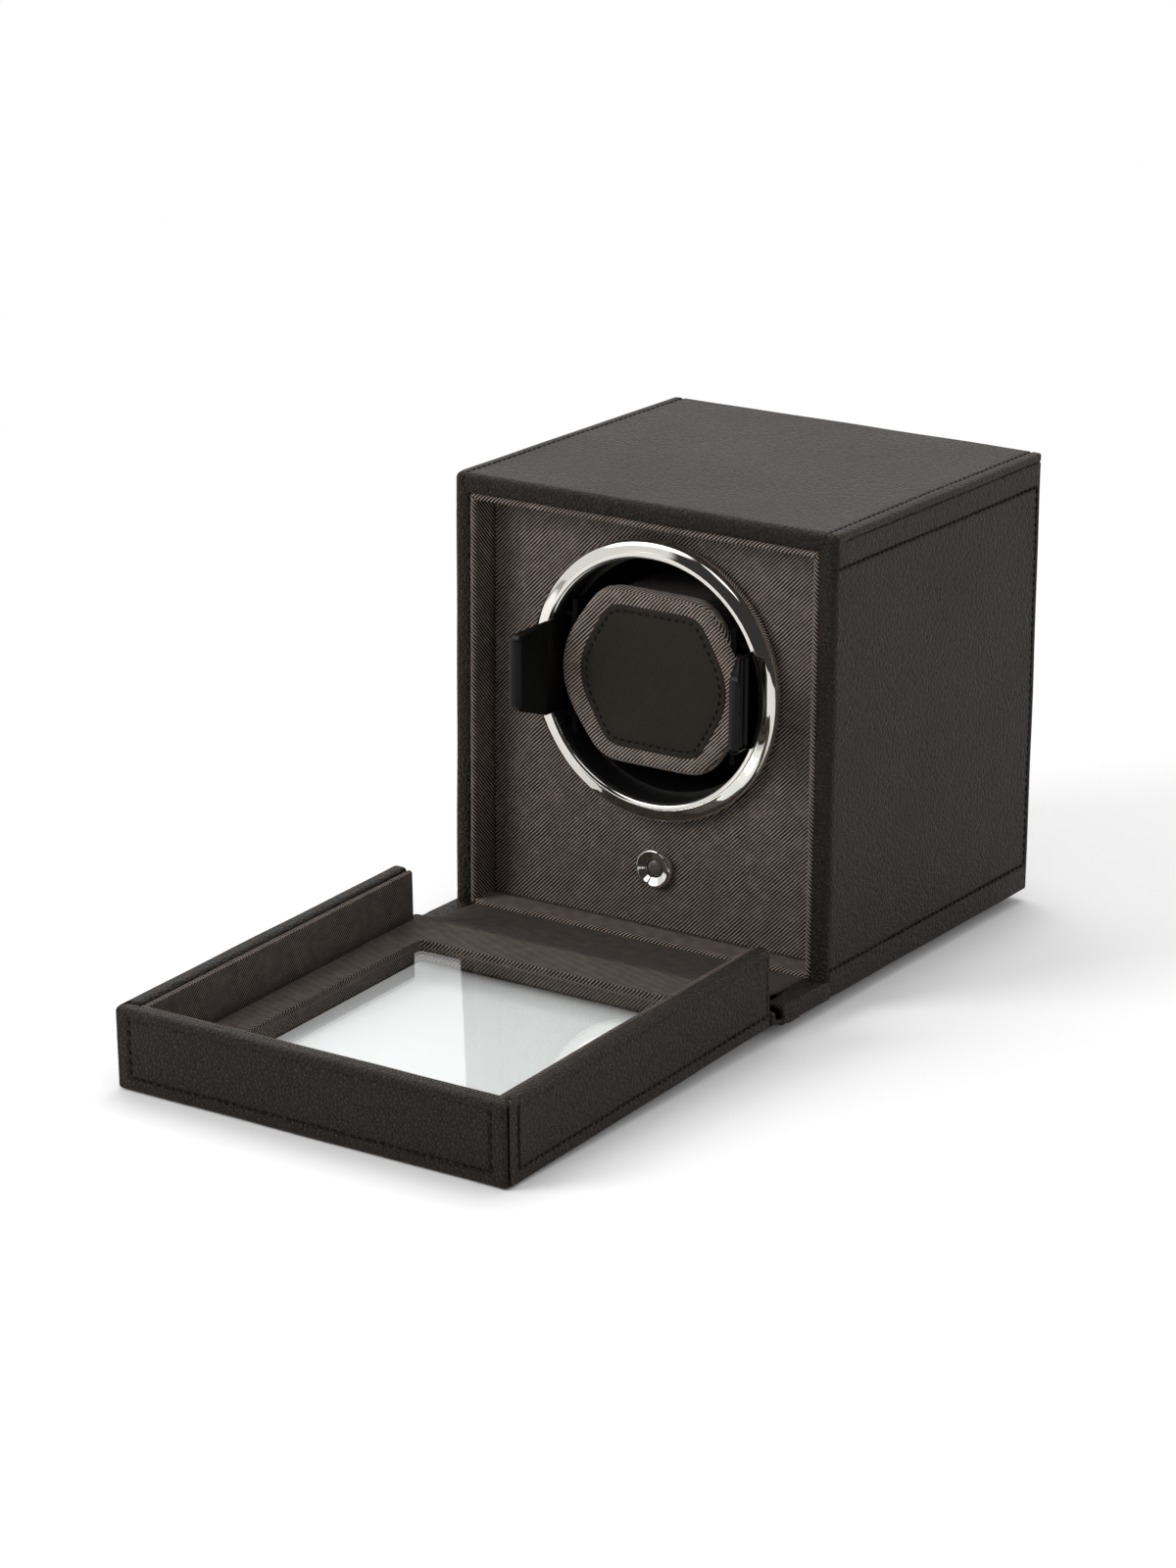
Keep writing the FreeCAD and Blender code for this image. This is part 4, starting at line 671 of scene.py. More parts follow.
def stitchShapes(centres, along, normals, shape=stitch):
    # Each stitch is a short thread: a tube whose radius and height fall to its ends as an ellipse
    # does, lying a little askew to the seam.
    t = np.linspace(-1, 1, 6)
    turn = np.arange(6) * math.pi / 3
    swell = np.sqrt(np.maximum(1 - t ** 4, 0.02))
    lengthwise = np.repeat(t[:, None] * shape["length"] / 2, 6, axis=1)
    sideways = swell[:, None] * shape["radius"] * np.cos(turn)
    upward = swell[:, None] * shape["radius"] * np.sin(turn) + (shape["rise"] * (1 - 2 * t ** 2))[:, None]
    sideways = sideways + lengthwise * shape["slant"]
    across = np.cross(normals, along)
    template = np.stack([lengthwise, sideways, upward], axis=-1).reshape(-1, 3) * mm
    frames = np.stack([along, across, normals], axis=1)
    points = centres[:, None, :] + np.einsum("pk,skc->spc", template, frames)
    side = gridFaces(6, 6, wrapColumns=True)
    starts = np.arange(len(centres))[:, None, None] * 36
    return points.reshape(-1, 3), (side[None] + starts).reshape(-1, 4)


def straightRow(start, end, normal, gap=0.6):
    # Stitch centres and directions at an even pitch from start to end.
    start, end = np.array(start, dtype=float), np.array(end, dtype=float)
    length = np.linalg.norm(end - start)
    count = max(1, int((length - gap) / stitch["pitch"]))
    share = (np.arange(count) + 0.5) / count
    centres = (start + share[:, None] * (end - start)) * mm
    direction = np.repeat([(end - start) / length], count, axis=0)
    return centres, direction, np.repeat([np.array(normal, dtype=float)], count, axis=0)


def seamRows(seams, sink, normal, side=1):
    # A row along each seam, sunk a little into the leather. Side -1 mirrors it in X.
    normal, mirror = np.array(normal), np.array([side, 1, 1])
    return [straightRow((start - sink * normal) * mirror, (end - sink * normal) * mirror, normal * mirror)
            for start, end in seams]


def addStitches(name, rows, body, place=None):
    centres, along, normals = [np.concatenate(part) for part in zip(*rows)]
    if place:
        origin = place(np.zeros((1, 3)))
        centres = place(centres)
        along, normals = place(along) - origin, place(normals) - origin
    points, faces = stitchShapes(centres, along, normals)
    caps = np.arange(len(centres))[:, None] * 36
    ends = np.concatenate([caps + [0, 1, 2, 3], caps + [0, 3, 4, 5], caps + [33, 32, 31, 30], caps + [35, 34, 33, 30]])
    return addPiece(name, points, np.concatenate([faces, ends]), "thread", "leather", body, weld=1e-9)


# The case's leather: top, sides, base and shelf.
topSkin = {
    "low": (-70.0, 22.07, 146.0),
    "high": (70.0, 152.07, 152.0),
    "rounding": (2.2, 2.2, 2.2),
    "seam": 66.2,
    "seamEnd": 0.5,
    "stitchEnd": 1.6,
    "lap": 149.4,
    "lapReach": 2.0,
    "thickness": 0.96,
}


def addTopSkin():
    low, high, sides = topSkin["low"], topSkin["high"], (-topSkin["seam"], topSkin["seam"])
    front, back, level = low[1], high[1], high[2]
    end = topSkin["seamEnd"]
    seams = [((x, front + end, level), (x, back - end, level)) for x in sides]
    folds = [((x, front, low[2] - 1), (x, front, level)) for x in sides]
    points, faces, normal, drawn = leatherBox(low, high, topSkin["rounding"], ("-z",), (sides, (), ()), seams, folds,
                                              depth=0.42, foldDepth=0.3)
    # The sides lap less far down than the front.
    reach = (level - low[2]) * mm
    share = np.clip((points[:, 1] - (front + topSkin["rounding"][1]) * mm) / (topSkin["lapReach"] * mm), 0, 1)
    side = np.abs(normal[:, 0]) > 0.5
    shorter = 1 - share * (topSkin["lap"] - low[2]) * mm / reach
    below = level * mm - points[:, 2]
    points[side, 2] = level * mm - (below * shorter)[side]
    skin = addPiece("topSkin", points, faces, "leather", "leather", "case", centre=(0, 0.087, 0.14), crease=drawn,
                    thickness=topSkin["thickness"])
    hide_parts("top_leather")
    end, under = topSkin["stitchEnd"], level - stitch["sunk"]
    rows = [straightRow((x, front + end, under), (x, back - end, under), (0, 0, 1)) for x in sides]
    addStitches("topStitches", rows, "case")


sideSkin = {
    "low": (64.0, 22.07, 3.7),
    "high": (70.0, 152.07, 149.5),
    "rounding": (2.2, 2.2, 1.2),
    "seamTop": 140.9,
    "seamLow": 13.0,
    "seamBack": 148.8,
    "seamFront": 23.6,
    "border": 0.4,
    "turnedIn": 0.10,
    "thickness": 0.96,
}


def addSideSkin(name, side, node):
    top, low, back, front = [sideSkin["seam" + word] for word in ("Top", "Low", "Back", "Front")]
    outer = sideSkin["high"][0]
    seams = [((outer, front, top), (outer, back, top)), ((outer, front, low), (outer, back, low)),
             ((outer, back, low), (outer, back, top))]
    points, faces, normal, drawn = leatherBox(sideSkin["low"], sideSkin["high"], sideSkin["rounding"], ("-x",),
                                              ((), (back,), (top, low)), seams, waves=0.12)
    # Leather is thicker where it is turned in along the border.
    border = sideSkin["border"]
    single = (points[:, 2] <= (top + border) * mm) & (points[:, 2] >= (low - border) * mm) & (normal[:, 0] > 0.9)
    points[single, 0] -= sideSkin["turnedIn"] * mm
    points[:, 0] *= side
    skin = addPiece(name, points, faces, "leather", "leather", "case", centre=(side * 0.066, 0.087, 0.075),
                    crease=drawn, thickness=sideSkin["thickness"])
    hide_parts(node)
    addStitches(name + "Stitches", seamRows(seams, stitch["sunk"], (1, 0, 0), side), "case")


backSkin = {
    "low": (-63.9, 150.6, 9.1),
    "high": (63.9, 151.75, 145.9),
    "rounding": (0.9, 0.7, 0.9),
    "seam": 56.0,
    "seamLow": 14.0,
    "seamHigh": 141.0,
    "stitchSunk": 0.25,
}


def addBackSkin():
    seam, low, high = backSkin["seam"], backSkin["seamLow"], backSkin["seamHigh"]
    level = backSkin["high"][1]
    corners = [(seam, level, low), (seam, level, high), (-seam, level, high), (-seam, level, low)]
    seams = list(zip(corners, corners[1:] + corners[:1]))
    points, faces, _, drawn = leatherBox(backSkin["low"], backSkin["high"], backSkin["rounding"], ("-y",),
                                         ((-seam, seam), (), (low, high)), seams, depth=0.35)
    skin = addPiece("backPanelSkin", points, faces, "leather", "leather", "case", centre=(0, 0.1, 0.077),
                    crease=drawn, thickness=leatherThick)
    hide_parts("back_leather")
    addStitches("backPanelStitches", seamRows(seams, backSkin["stitchSunk"], (0, 1, 0)), "case")


baseSkin = {
    "shelfLow": (-70.0, 5.47, 3.5),
    "shelfHigh": (70.0, 24.0, 10.0),
    "shelfRounding": (1.0, 1.2, 1.2),
    "underLow": (-68.9, 20.0, 3.5),
    "underHigh": (68.9, 151.9, 9.4),
    "underRounding": (1.0, 1.0, 0.8),
    "strip": 63.0,
    "drop": 1.0,
}


def addBaseSkin():
    strip = baseSkin["strip"]
    shelf, shelfFaces, normal, _ = leatherBox(baseSkin["shelfLow"], baseSkin["shelfHigh"], baseSkin["shelfRounding"],
                                              ("+y",), ((-strip, strip), (), ()), waves=0.08)
    # Between its two side strips, the shelf is lower.
    lowered = (np.abs(shelf[:, 0]) < strip * mm) & (normal[:, 2] > 0.5)
    shelf[lowered, 2] -= baseSkin["drop"] * mm
    under, underFaces, _ = softBox(baseSkin["underLow"], baseSkin["underHigh"], baseSkin["underRounding"],
                                   ("+z", "-y"))
    points, faces = joinParts([(shelf, shelfFaces), (under, underFaces)])
    skin = addPiece("baseSkin", points, faces, "leather", "leather", "case", centre=(0, 0.075, 0.008),
                    thickness=leatherThick)
    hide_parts("base_leather")


# Fabric inside the front opening: the rolled frame, and the shelf with the hinge fabric.
jambFabric = {
    "outer": (64.0, 9.0, 146.0),
    "corner": 1.2,
    "front": 21.85,
    "edgeDepth": 2.0,
    "roll": 1.15,
    "wall": 2.2,
    "wallDepths": (1.6, 3.0, 5.5, 8.5, 11.65),
}


def rectangleLoop(halfX, lowZ, highZ, corner, spacing=1.5, cornerSteps=6):
    # Points round a rectangle with rounded corners, at the spacing along its sides, their outward
    # directions and how far along the loop each lies. Starts at the middle of the right side,
    # going up.
    midZ, halfZ = (lowZ + highZ) / 2, (highZ - lowZ) / 2
    quarter = math.pi / 2 * corner
    sides = [halfZ - corner, 2 * (halfX - corner), 2 * (halfZ - corner), 2 * (halfX - corner), halfZ - corner]
    centres = [(halfX - corner, halfZ - corner), (corner - halfX, halfZ - corner),
               (corner - halfX, corner - halfZ), (halfX - corner, corner - halfZ)]
    stations, spots, aims = [], [], []
    travelled = 0.0
    for k in range(5):
        angle = math.pi / 2 * k
        outward = np.array([math.cos(angle), math.sin(angle)])
        forward = np.array([-outward[1], outward[0]])
        start = np.array([halfX, 0.0]) if k == 0 else spots[-1][-1]
        steps = max(2, int(sides[k] / spacing) + 1)
        share = np.linspace(0, 1, steps)[:, None]
        spots.append(start + share * sides[k] * forward)
        aims.append(np.repeat([outward], steps, axis=0))
        stations.append(travelled + share[:, 0] * sides[k])
        travelled += sides[k]
        if k < 4:
            turn = angle + np.linspace(0, math.pi / 2, cornerSteps + 1)[1:]
            arc = np.stack([np.cos(turn), np.sin(turn)], axis=1)
            spots.append(np.array(centres[k]) + corner * arc)
            aims.append(arc)
            stations.append(travelled + (turn - angle) * corner)
            travelled += quarter
    spots, aims, stations = [np.concatenate(part) for part in (spots, aims, stations)]
    spots[:, 1] += midZ
    return spots, aims, stations


def addJambFabric():
    # The roll's section, as (in from the outer edge, towards the back), is carried round the opening.
    roll = jambFabric["roll"]
    spots, aims, stations = rectangleLoop(*jambFabric["outer"], jambFabric["corner"])
    turn = np.linspace(-math.pi / 2, math.pi / 2, 11)
    section = [(0.0, jambFabric["edgeDepth"])]
    section += list(zip(roll * (1 + np.sin(turn)), roll * (1 - np.cos(turn))))
    section = np.array(section + [(jambFabric["wall"], depth) for depth in jambFabric["wallDepths"]])
    across, up = [spots[:, k] - aims[:, k] * section[:, :1] for k in range(2)]
    grid = gridOf(across, jambFabric["front"] + section[:, 1:], up)
    uv = np.stack(np.broadcast_arrays(stations[None, :], runLength(section)[:, None]), axis=-1) * mm
    # Its twill is a lighter copy: painted light on the rolled edge.
    lining = addGrid("jambFabric", grid, "twillUv", "twill", "case", centre=(0, 0.03, 0.5), uv=uv)
    inward = [face.normal.dot(Vector((-face.center.x, 0, 0.0775 - face.center.z))) for face in lining.data.polygons]
    if sum(inward) < 0:
        lining.data.flip_normals()
    giveThickness(lining, clothThick)
    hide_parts("jamb_lining")


hingeFabric = {
    "half": 62.8,
    "line": ((22.2, 10.0), (16, 10.4), (10, 10.8), (6.8, 11.0), (5.2, 11.1), (3.4, 11.3), (1.0, 11.7),
             (-1.6, 12.3), (-4.2, 13.0), (-6.2, 13.6), (-7.6, 14.05), (-9.0, 14.25)),
    "edge": 1.2,
    "edgeDrop": 0.55,
    "ripple": 0.10,
    "ripplePitch": 7.3,
    "rippleReach": 4.5,
    "thickness": 0.6,
}


def addHingeFabric():
    # One cloth from the back of the shelf, over its front edge and across the hinge to the rail.
    # Its line is a smooth curve through a few heights, carried across the width, with a ripple: a
    # sine across the width that fades from the hinge as a bell curve does.
    half = hingeFabric["half"]
    heights = np.array(hingeFabric["line"])
    y = np.linspace(heights[0, 0], heights[-1, 0], 70)
    z = np.interp(-y, -heights[:, 0], heights[:, 1])
    z[2:-2] = np.convolve(z, np.array([1, 4, 6, 4, 1]) / 16, mode="valid")
    x = np.linspace(-half, half, 66)
    edge = np.clip((half - np.abs(x)) / hingeFabric["edge"], 0, 1)
    fade = np.exp(-((y[:, None] + 0.5) / hingeFabric["rippleReach"]) ** 2)
    ripple = hingeFabric["ripple"] * np.sin(x / hingeFabric["ripplePitch"] + 0.6) * fade
    grid = gridOf(x, y[:, None], z[:, None] - hingeFabric["edgeDrop"] * (1 - edge) ** 2 + ripple)
    # Its twill is a darker copy: painted shade on the shelf and hinge.
    cloth = addGrid("hingeFabric", grid, "twillShade", "twill", None, centre=(0, 0.007, -1),
                    thickness=hingeFabric["thickness"])
    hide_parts("hinge_lining", "shelf_lining")
    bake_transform(cloth)
    length = runLength(np.stack([y, z], axis=1))[-1]


hingeStrip = {
    "half": 69.8,
    "front": -7.8,
    "back": 6.4,
    "low": 3.62,
    "step": 1.75,
    "stepY": -2.5,
    "stepReach": 1.5,
    "sag": 0.35,
    "sagY": -0.2,
    "sagReach": 3,
}


def addHingeStrip():
    # The leather under the hinge: a line from the base up to the cover, carried across the width.
    # It rises as a logistic step and sags as a bell curve.
    half = hingeStrip["half"]
    y = np.linspace(hingeStrip["back"], hingeStrip["front"], 36)
    step = hingeStrip["step"] / (1 + np.exp((y - hingeStrip["stepY"]) / hingeStrip["stepReach"]))
    sag = hingeStrip["sag"] * np.exp(-((y - hingeStrip["sagY"]) / hingeStrip["sagReach"]) ** 2)
    z = hingeStrip["low"] + step - sag
    x = np.linspace(-half, half, 60)
    strip = addGrid("hingeStrip", gridOf(x, y[:, None], z[:, None]), "leather", "leather", None, centre=(0, 0, 1),
                    thickness=leatherThick)
    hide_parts("hinge_leather")
    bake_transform(strip)
    length = runLength(np.stack([y, z], axis=1))[-1]


hingeEnd = {
    "low": (62.9, -3.7, 3.4),
    "high": (70.05, 8.0, 9.9),
    "rounding": (1.3, 1.0, 1.5),
    "hollow": 1.6,
    "hollowMiddle": (66.5, 6.6),
    "hollowHalf": (2.9, 2.6),
}


def addHingeEnds():
    # The base's side strips run on to the hinge. Their ends are hollow: drawn in as a parabola does
    # over the end's ellipse.
    points, faces, normal, _ = leatherBox(hingeEnd["low"], hingeEnd["high"], hingeEnd["rounding"], ("+y",),
                                          waves=0.05, step=0.6)
    heart, size = np.array(hingeEnd["hollowMiddle"]) * mm, np.array(hingeEnd["hollowHalf"]) * mm
    inside = 1 - (((points[:, [0, 2]] - heart) / size) ** 2).sum(axis=1)
    front = normal[:, 1] < -0.9
    points[front, 1] += hingeEnd["hollow"] * mm * np.clip(inside, 0, 1)[front]
    points, faces = joinParts([(points * [side, 1, 1], faces) for side in (-1, 1)])
    ends = addPiece("hingeEnds", points, faces, "leather", "leather", None, centre=(0, 1.0, 0.0066))
    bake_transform(ends)


# The cover's leather, in the cover's own frame.
coverSkin = {
    "near": 146.9,
    "nearInner": 141.4,
    "nearRounding": (1.6, 1.9, 1.4),
    "height": 26.2,
    "lowest": 0.05,
    "outer": 69.9,
    "inner": 64.5,
    "hingeSide": 5.7,
    "hingeBorder": 2.6,
    "wallRounding": (1.9, 1.6, 1.4),
    "seamLow": 4.6,
    "border": 5.6,
    "crease": 23.4,
    "draft": 0.35,
    "mitre": 2.86,
    "mitreGap": 0.2,
}


def addNearSkin():
    near, top, outer = coverSkin["near"], coverSkin["height"], coverSkin["outer"]
    border, low, crease = outer - coverSkin["border"], coverSkin["seamLow"], coverSkin["crease"]
    seams = [((-border, -near, low), (border, -near, low)), ((-border, -near, low), (-border, -near, crease)),
             ((border, -near, low), (border, -near, crease))]
    folds = [((-border, -near, crease), (border, -near, crease))]
    points, faces, _, drawn = leatherBox((-outer, -near, coverSkin["lowest"]), (outer, -coverSkin["nearInner"], top),
                                         coverSkin["nearRounding"], (), ((-border, border), (), (low, crease)), seams,
                                         folds, foldDepth=0.22)
    depth = points[:, 1] + near * mm
    points[:, 0] *= (outer * mm - coverSkin["draft"] * depth) / (outer * mm)
    skin = addPiece("nearWallSkin", inCover(points), faces, "leather", "leather", "cover", crease=drawn)
    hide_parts("near_wall_leather")
    addStitches("nearWallStitches", seamRows(seams, stitch["sunk"], (0, -1, 0)), "cover", inCover)


def addWallSkin(name, side, node):
    near, top, outer, low = coverSkin["near"], coverSkin["height"], coverSkin["outer"], coverSkin["seamLow"]
    hingeSide, crease, gap = coverSkin["hingeSide"], coverSkin["crease"], coverSkin["mitreGap"]
    nearLine, hingeLine = -near + coverSkin["border"], -hingeSide - coverSkin["hingeBorder"]
    seams = [((outer, nearLine, low), (outer, hingeLine, low)), ((outer, nearLine, low), (outer, nearLine, crease))]
    folds = [((outer, nearLine, crease), (outer, hingeLine, crease)),
             ((outer, hingeLine, low), (outer, hingeLine, crease))]
    points, faces, _, drawn = leatherBox((coverSkin["inner"], -near + gap, coverSkin["lowest"]),
                                         (outer, -hingeSide, top), coverSkin["wallRounding"], (),
                                         ((), (nearLine, hingeLine), (low, crease)), seams, folds, foldDepth=0.25)
    # Mitred against the near wall.
    depth = np.clip(outer * mm - points[:, 0], 0, None)
    wallEnd = np.minimum((gap - near) * mm + coverSkin["mitre"] * depth, -(coverSkin["nearInner"] - 0.1) * mm)
    hingeY = -hingeSide * mm
    share = (points[:, 1] - hingeY) / ((gap - near) * mm - hingeY)
    points[:, 1] = hingeY + share * (wallEnd - hingeY)
    points[:, 0] *= side
    skin = addPiece(name, inCover(points), faces, "leather", "leather", "cover", crease=drawn)
    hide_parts(node)
    addStitches(name + "Stitches", seamRows(seams, stitch["sunk"], (1, 0, 0), side), "cover", inCover)


# Fabric inside the cover: three lined cards and the rail round the window.
coverFabric = {
    "cards": (((62.5, -141.3), (64.55, -5.9)), ((-64.55, -141.3), (-62.5, -5.9)), ((-63.6, -141.45), (63.6, -139.4))),
    "cardLow": 8.9,
    "cardTop": 25.4,
    "cardRounding": (0.95, 0.95, 0.95),
    "window": (50.5, 19.8, 127.4),
    "windowCorner": 1.0,
    "outer": (64.6, 2.4, 141.5),
    "rail": 9.2,
    "railBack": 1.3,
    "railRoll": 0.9,
    "railTuck": 0.4,
}


def coverMiddle(height):
    return inCover(np.array([[0, -0.075, height]]))[0]


def addWallFabric():
    parts = []
    for low, high in coverFabric["cards"]:
        points, faces, normal = softBox((*low, coverFabric["cardLow"]), (*high, coverFabric["cardTop"]),
                                        coverFabric["cardRounding"], ("-z",))
        points = points + normal * handMade(points, 0.06)[:, None]
        parts.append((inCover(points), faces))
    # The cards' twill is a darker copy: painted shade.
    cards = addPiece("wallFabric", *joinParts(parts), "twillRail", "twill", "cover", centre=coverMiddle(0.0),
                     thickness=clothThick)
    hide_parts("wall_linings")


def windowFrame(outer, level, back, roll, tuck=0.0):
    # Straight lines from an outer rectangle to the window's, whose edge is rolled over to the back.
    halfX, start, end = coverFabric["window"]
    halfX, start, end = halfX - tuck, start + tuck, end - tuck
    outerX, outerStart, outerEnd = outer
    inside, aims, _ = rectangleLoop(halfX, -end, -start, coverFabric["windowCorner"])
    outside = inside * [outerX / halfX, 1.0]
    middleY = -(start + end) / 2
    stretch = np.where(inside[:, 1] > middleY, (-outerStart - middleY) / (-start - middleY),
                       (-outerEnd - middleY) / (-end - middleY))
    outside[:, 1] = middleY + (inside[:, 1] - middleY) * stretch
    fall = roll if back < level else -roll
    flat = inside + aims * roll
    lines = [(outside + share * (flat - outside), level) for share in np.linspace(0, 1, 8)]
    lines += [(inside + aims * roll * (1 - math.sin(turn)), level - fall * (1 - math.cos(turn)))
              for turn in np.linspace(0.25, 1, 4) * math.pi / 2]
    lines.append((inside, back))
    return np.array([np.column_stack([spot, np.full(len(spot), height)]) for spot, height in lines])


def addRailFabric():
    points = windowFrame(coverFabric["outer"], coverFabric["rail"], coverFabric["railBack"],
                         coverFabric["railRoll"], coverFabric["railTuck"])
    # The rail's twill is a darker copy: painted shade.
    cloth = addPiece("railFabric", inCover(points * mm), gridFaces(*points.shape[:2]), "twillRail", "twill",
                     "cover", centre=coverMiddle(-1.0), thickness=clothThick)
    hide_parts("rail_lining")


# The leather under the cover: a frame round the window, and the rounded edge along the hinge.
underSkin = {
    "outer": (66.0, 5.0, 143.0),
    "level": 0.05,
    "back": 1.15,
    "roll": 0.8,
    "lipLow": (-69.9, -5.75, 0.05),
    "lipHigh": (69.9, -2.6, 4.5),
    "lipRounding": (1.3, 1.2, 1.2),
}


def addUnderSkin():
    points = windowFrame(underSkin["outer"], underSkin["level"], underSkin["back"], underSkin["roll"])
    frameSkin = addPiece("underSkin", inCover(points * mm), gridFaces(*points.shape[:2]), "leather", "leather",
                         "cover", centre=coverMiddle(1.0), thickness=leatherThick)
    lip, faces, _, _ = leatherBox(underSkin["lipLow"], underSkin["lipHigh"], underSkin["lipRounding"], waves=0.06)
    edge = addPiece("underLip", inCover(lip), faces, "leather", "leather", "cover")
    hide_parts("cover_leather")
    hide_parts("cover_leather")


# The ring round the drum, and its section as (radius, height off the fabric).
ring = {
    "section": ((44.1, 0.0), (45.0, 0.4), (45.4, 1.3), (45.5, 2.5), (45.45, 3.3), (45.15, 3.95), (44.6, 4.4),
                (43.7, 4.75), (42.7, 5.02), (41.7, 5.28), (41.3, 5.42), (40.9, 5.42), (40.3, 5.28), (39.8, 5.1),
                (39.55, 4.8), (39.65, 4.3), (40.1, 3.9), (41.3, 3.7), (41.3, 0.0)),
    "samples": 130,
    "segments": 288,
}


def smoothClosed(section, count):
    # A closed line through the given points with evenly rounded corners: resampled at an even
    # spacing, then averaged with its neighbours.
    line, _ = evenly(section, count)
    for _ in range(3):
        line = 0.25 * np.roll(line, 1, axis=0) + 0.5 * line + 0.25 * np.roll(line, -1, axis=0)
    return line


def addTurned(name, line, segments, centreZ, look, body, closed=True):
    # The line, as (radius, height off the fabric), turned about an axis along Y.
    turn = np.linspace(0, 2 * math.pi, segments, endpoint=False)
    radius, height = line[:, :1], line[:, 1:]
    grid = gridOf(radius * np.cos(turn), panelY / mm - height, centreZ / mm + radius * np.sin(turn))
    return addGrid(name, grid, look, look, body, wraps=(closed, True))


def addRing():
    section = smoothClosed(ring["section"], ring["samples"])
    shown = addTurned("ringTrim", section, ring["segments"], axisZ, "chrome", "case")
    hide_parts("bezel_ring")


# The button: a turned bezel, hollow like a bowl, and a clear domed cap.
button = {
    "bezel": ((5.0, -3.9), (5.0, 0.0), (6.35, 0.0), (6.5, 0.3), (6.48, 1.2), (6.35, 2.0), (6.1, 2.45), (5.8, 2.6),
              (5.5, 2.52), (4.7, 2.15), (3.9, 1.78), (3.3, 1.5), (3.08, 1.35), (2.96, 1.05), (2.95, 0.5),
              (2.95, -3.9)),
    "bezelSamples": 110,
    "bezelSegments": 96,
    "cap": ((0.0, 1.75), (0.8, 1.7), (1.4, 1.6), (1.9, 1.46), (2.3, 1.28), (2.6, 1.05), (2.78, 0.75), (2.8, 0.5),
            (2.8, -1.5), (0.0, -1.5)),
    "capSamples": 60,
    "capSegments": 64,
}


def addButton():
    buttonZ = middle("button_bezel").z
    section = smoothClosed(button["bezel"], button["bezelSamples"])
    bezel = addTurned("buttonTrim", section, button["bezelSegments"], buttonZ, "chrome", "case")
    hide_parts("button_bezel")
    line, _ = evenly(button["cap"], button["capSamples"], closed=False)
    line[1:-1] = 0.25 * line[:-2] + 0.5 * line[1:-1] + 0.25 * line[2:]
    dome = addTurned("buttonDome", line, button["capSegments"], buttonZ, "clear_cap", "button", closed=False)
    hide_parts("button_cap")


# The cuff: padded body, fabric face plate with its raised border, stitched leather pad. Sections
# are (inset from the outline, height behind the piece's own level) and fills (share, height).
cuff = {
    "plate": (34.6, 28.6, 19.6, 12.6, 3.4),
    "plateSoftness": 12.0,
    "plateBack": 35.0,
    "plateRear": ((1.3, 0), (0.6, -0.25), (0.3, -0.9), (0.15, -2.0)),
    "crest": 29.3,
    "plateFront": ((0.0, 3.0), (0.05, 2.1), (0.25, 1.4), (0.6, 0.8), (1.1, 0.35), (1.7, 0.08), (2.4, 0), (3.1, 0.03),
                   (3.8, 0.14), (4.4, 0.36), (4.9, 0.62)),
    "plateInner": ((0.96, 0.66), (0.92, 0.72), (0.8, 0.85), (0.5, 0.85), (0.2, 0.85), (0.0, 0.85)),
    "pad": (27.5, 23.5, 16.9, 10.5, 3.2),
    "padSoftness": 9.0,
    "padFace": 29.75,
    "padEdge": ((0.35, 1.2), (0.05, 0.95), (0.0, 0.65), (0.12, 0.35), (0.4, 0.12), (0.8, 0.02), (1.3, 0)),
    "stitchInset": 2.45,
    "padGroove": ((-0.7, 0.02), (-0.3, 0.07), (0, 0.11), (0.3, 0.07), (0.7, 0.01), (1.2, -0.03), (2.1, -0.07),
                  (3.3, -0.10)),
    "padFill": (0.9, 0.78, 0.64, 0.5, 0.36, 0.22, 0.1, 0),
    "padDome": 0.12,
    "body": (28.5, 27.5, 15.5, 15.0, 0.4),
    "bodySoftness": 6.0,
    "bodyEnd": 66.7,
    "bodyNeck": (1.4, 0.05),
    "bodyClose": (3.0, 0.1),
}


def eightSidedLoop(halfX, halfZ, topHalf, sideHalf, bulge, softness, count=360):
    # An eight-sided outline whose upright sides bulge as a parabola. It is resampled at an even
    # spacing and averaged along itself, which rounds its corners.
    rise = np.linspace(-1, 1, 15)
    bulged = np.column_stack([halfX - bulge * rise ** 2, sideHalf * rise])
    upper = np.array([[topHalf, halfZ], [-topHalf, halfZ]])
    loop, length = evenly(np.vstack([bulged, upper, bulged[::-1] * [-1, 1], -upper]), count)
    reach = int(softness / (length / count))
    kernel = np.hanning(2 * reach + 3)[1:-1]
    kernel /= kernel.sum()
    padded = np.vstack([loop[-reach:], loop, loop[:reach]])
    return np.stack([np.convolve(padded[:, k], kernel, mode="valid") for k in range(2)], axis=1)


def loopNormals(loop):
    ahead = np.roll(loop, -1, axis=0) - np.roll(loop, 1, axis=0)
    ahead /= np.linalg.norm(ahead, axis=1, keepdims=True)
    return np.stack([ahead[:, 1], -ahead[:, 0]], axis=1), ahead


def behind(level, pairs, inset=0.0):
    return [(inset + first, level + rise) for first, rise in pairs]


def platedPart(loop, section, fill=()):
    # One side of a plate: the loop moved in by each inset at each height, and then drawn in evenly
    # to its middle along the fill's (share, height) pairs.
    outward, _ = loopNormals(loop)
    rows = []
    for inset, station in section:
        spot = loop - outward * inset
        rows.append(np.column_stack([spot[:, 0], np.full(len(spot), station), spot[:, 1]]))
    edge = rows[-1]
    rows += [edge * [share, 0, share] + [0, station, 0] for share, station in fill]
    return np.array(rows), gridFaces(len(rows), len(loop), False, True)


def atAxis(points):
    moved = points * mm
    moved[..., 2] += axisZ
    return moved


def addPlated(name, parts, look, slot):
    points, faces = joinParts(parts)
    return addPiece(name, atAxis(points), faces, look, slot, "drum", weld=2e-5)


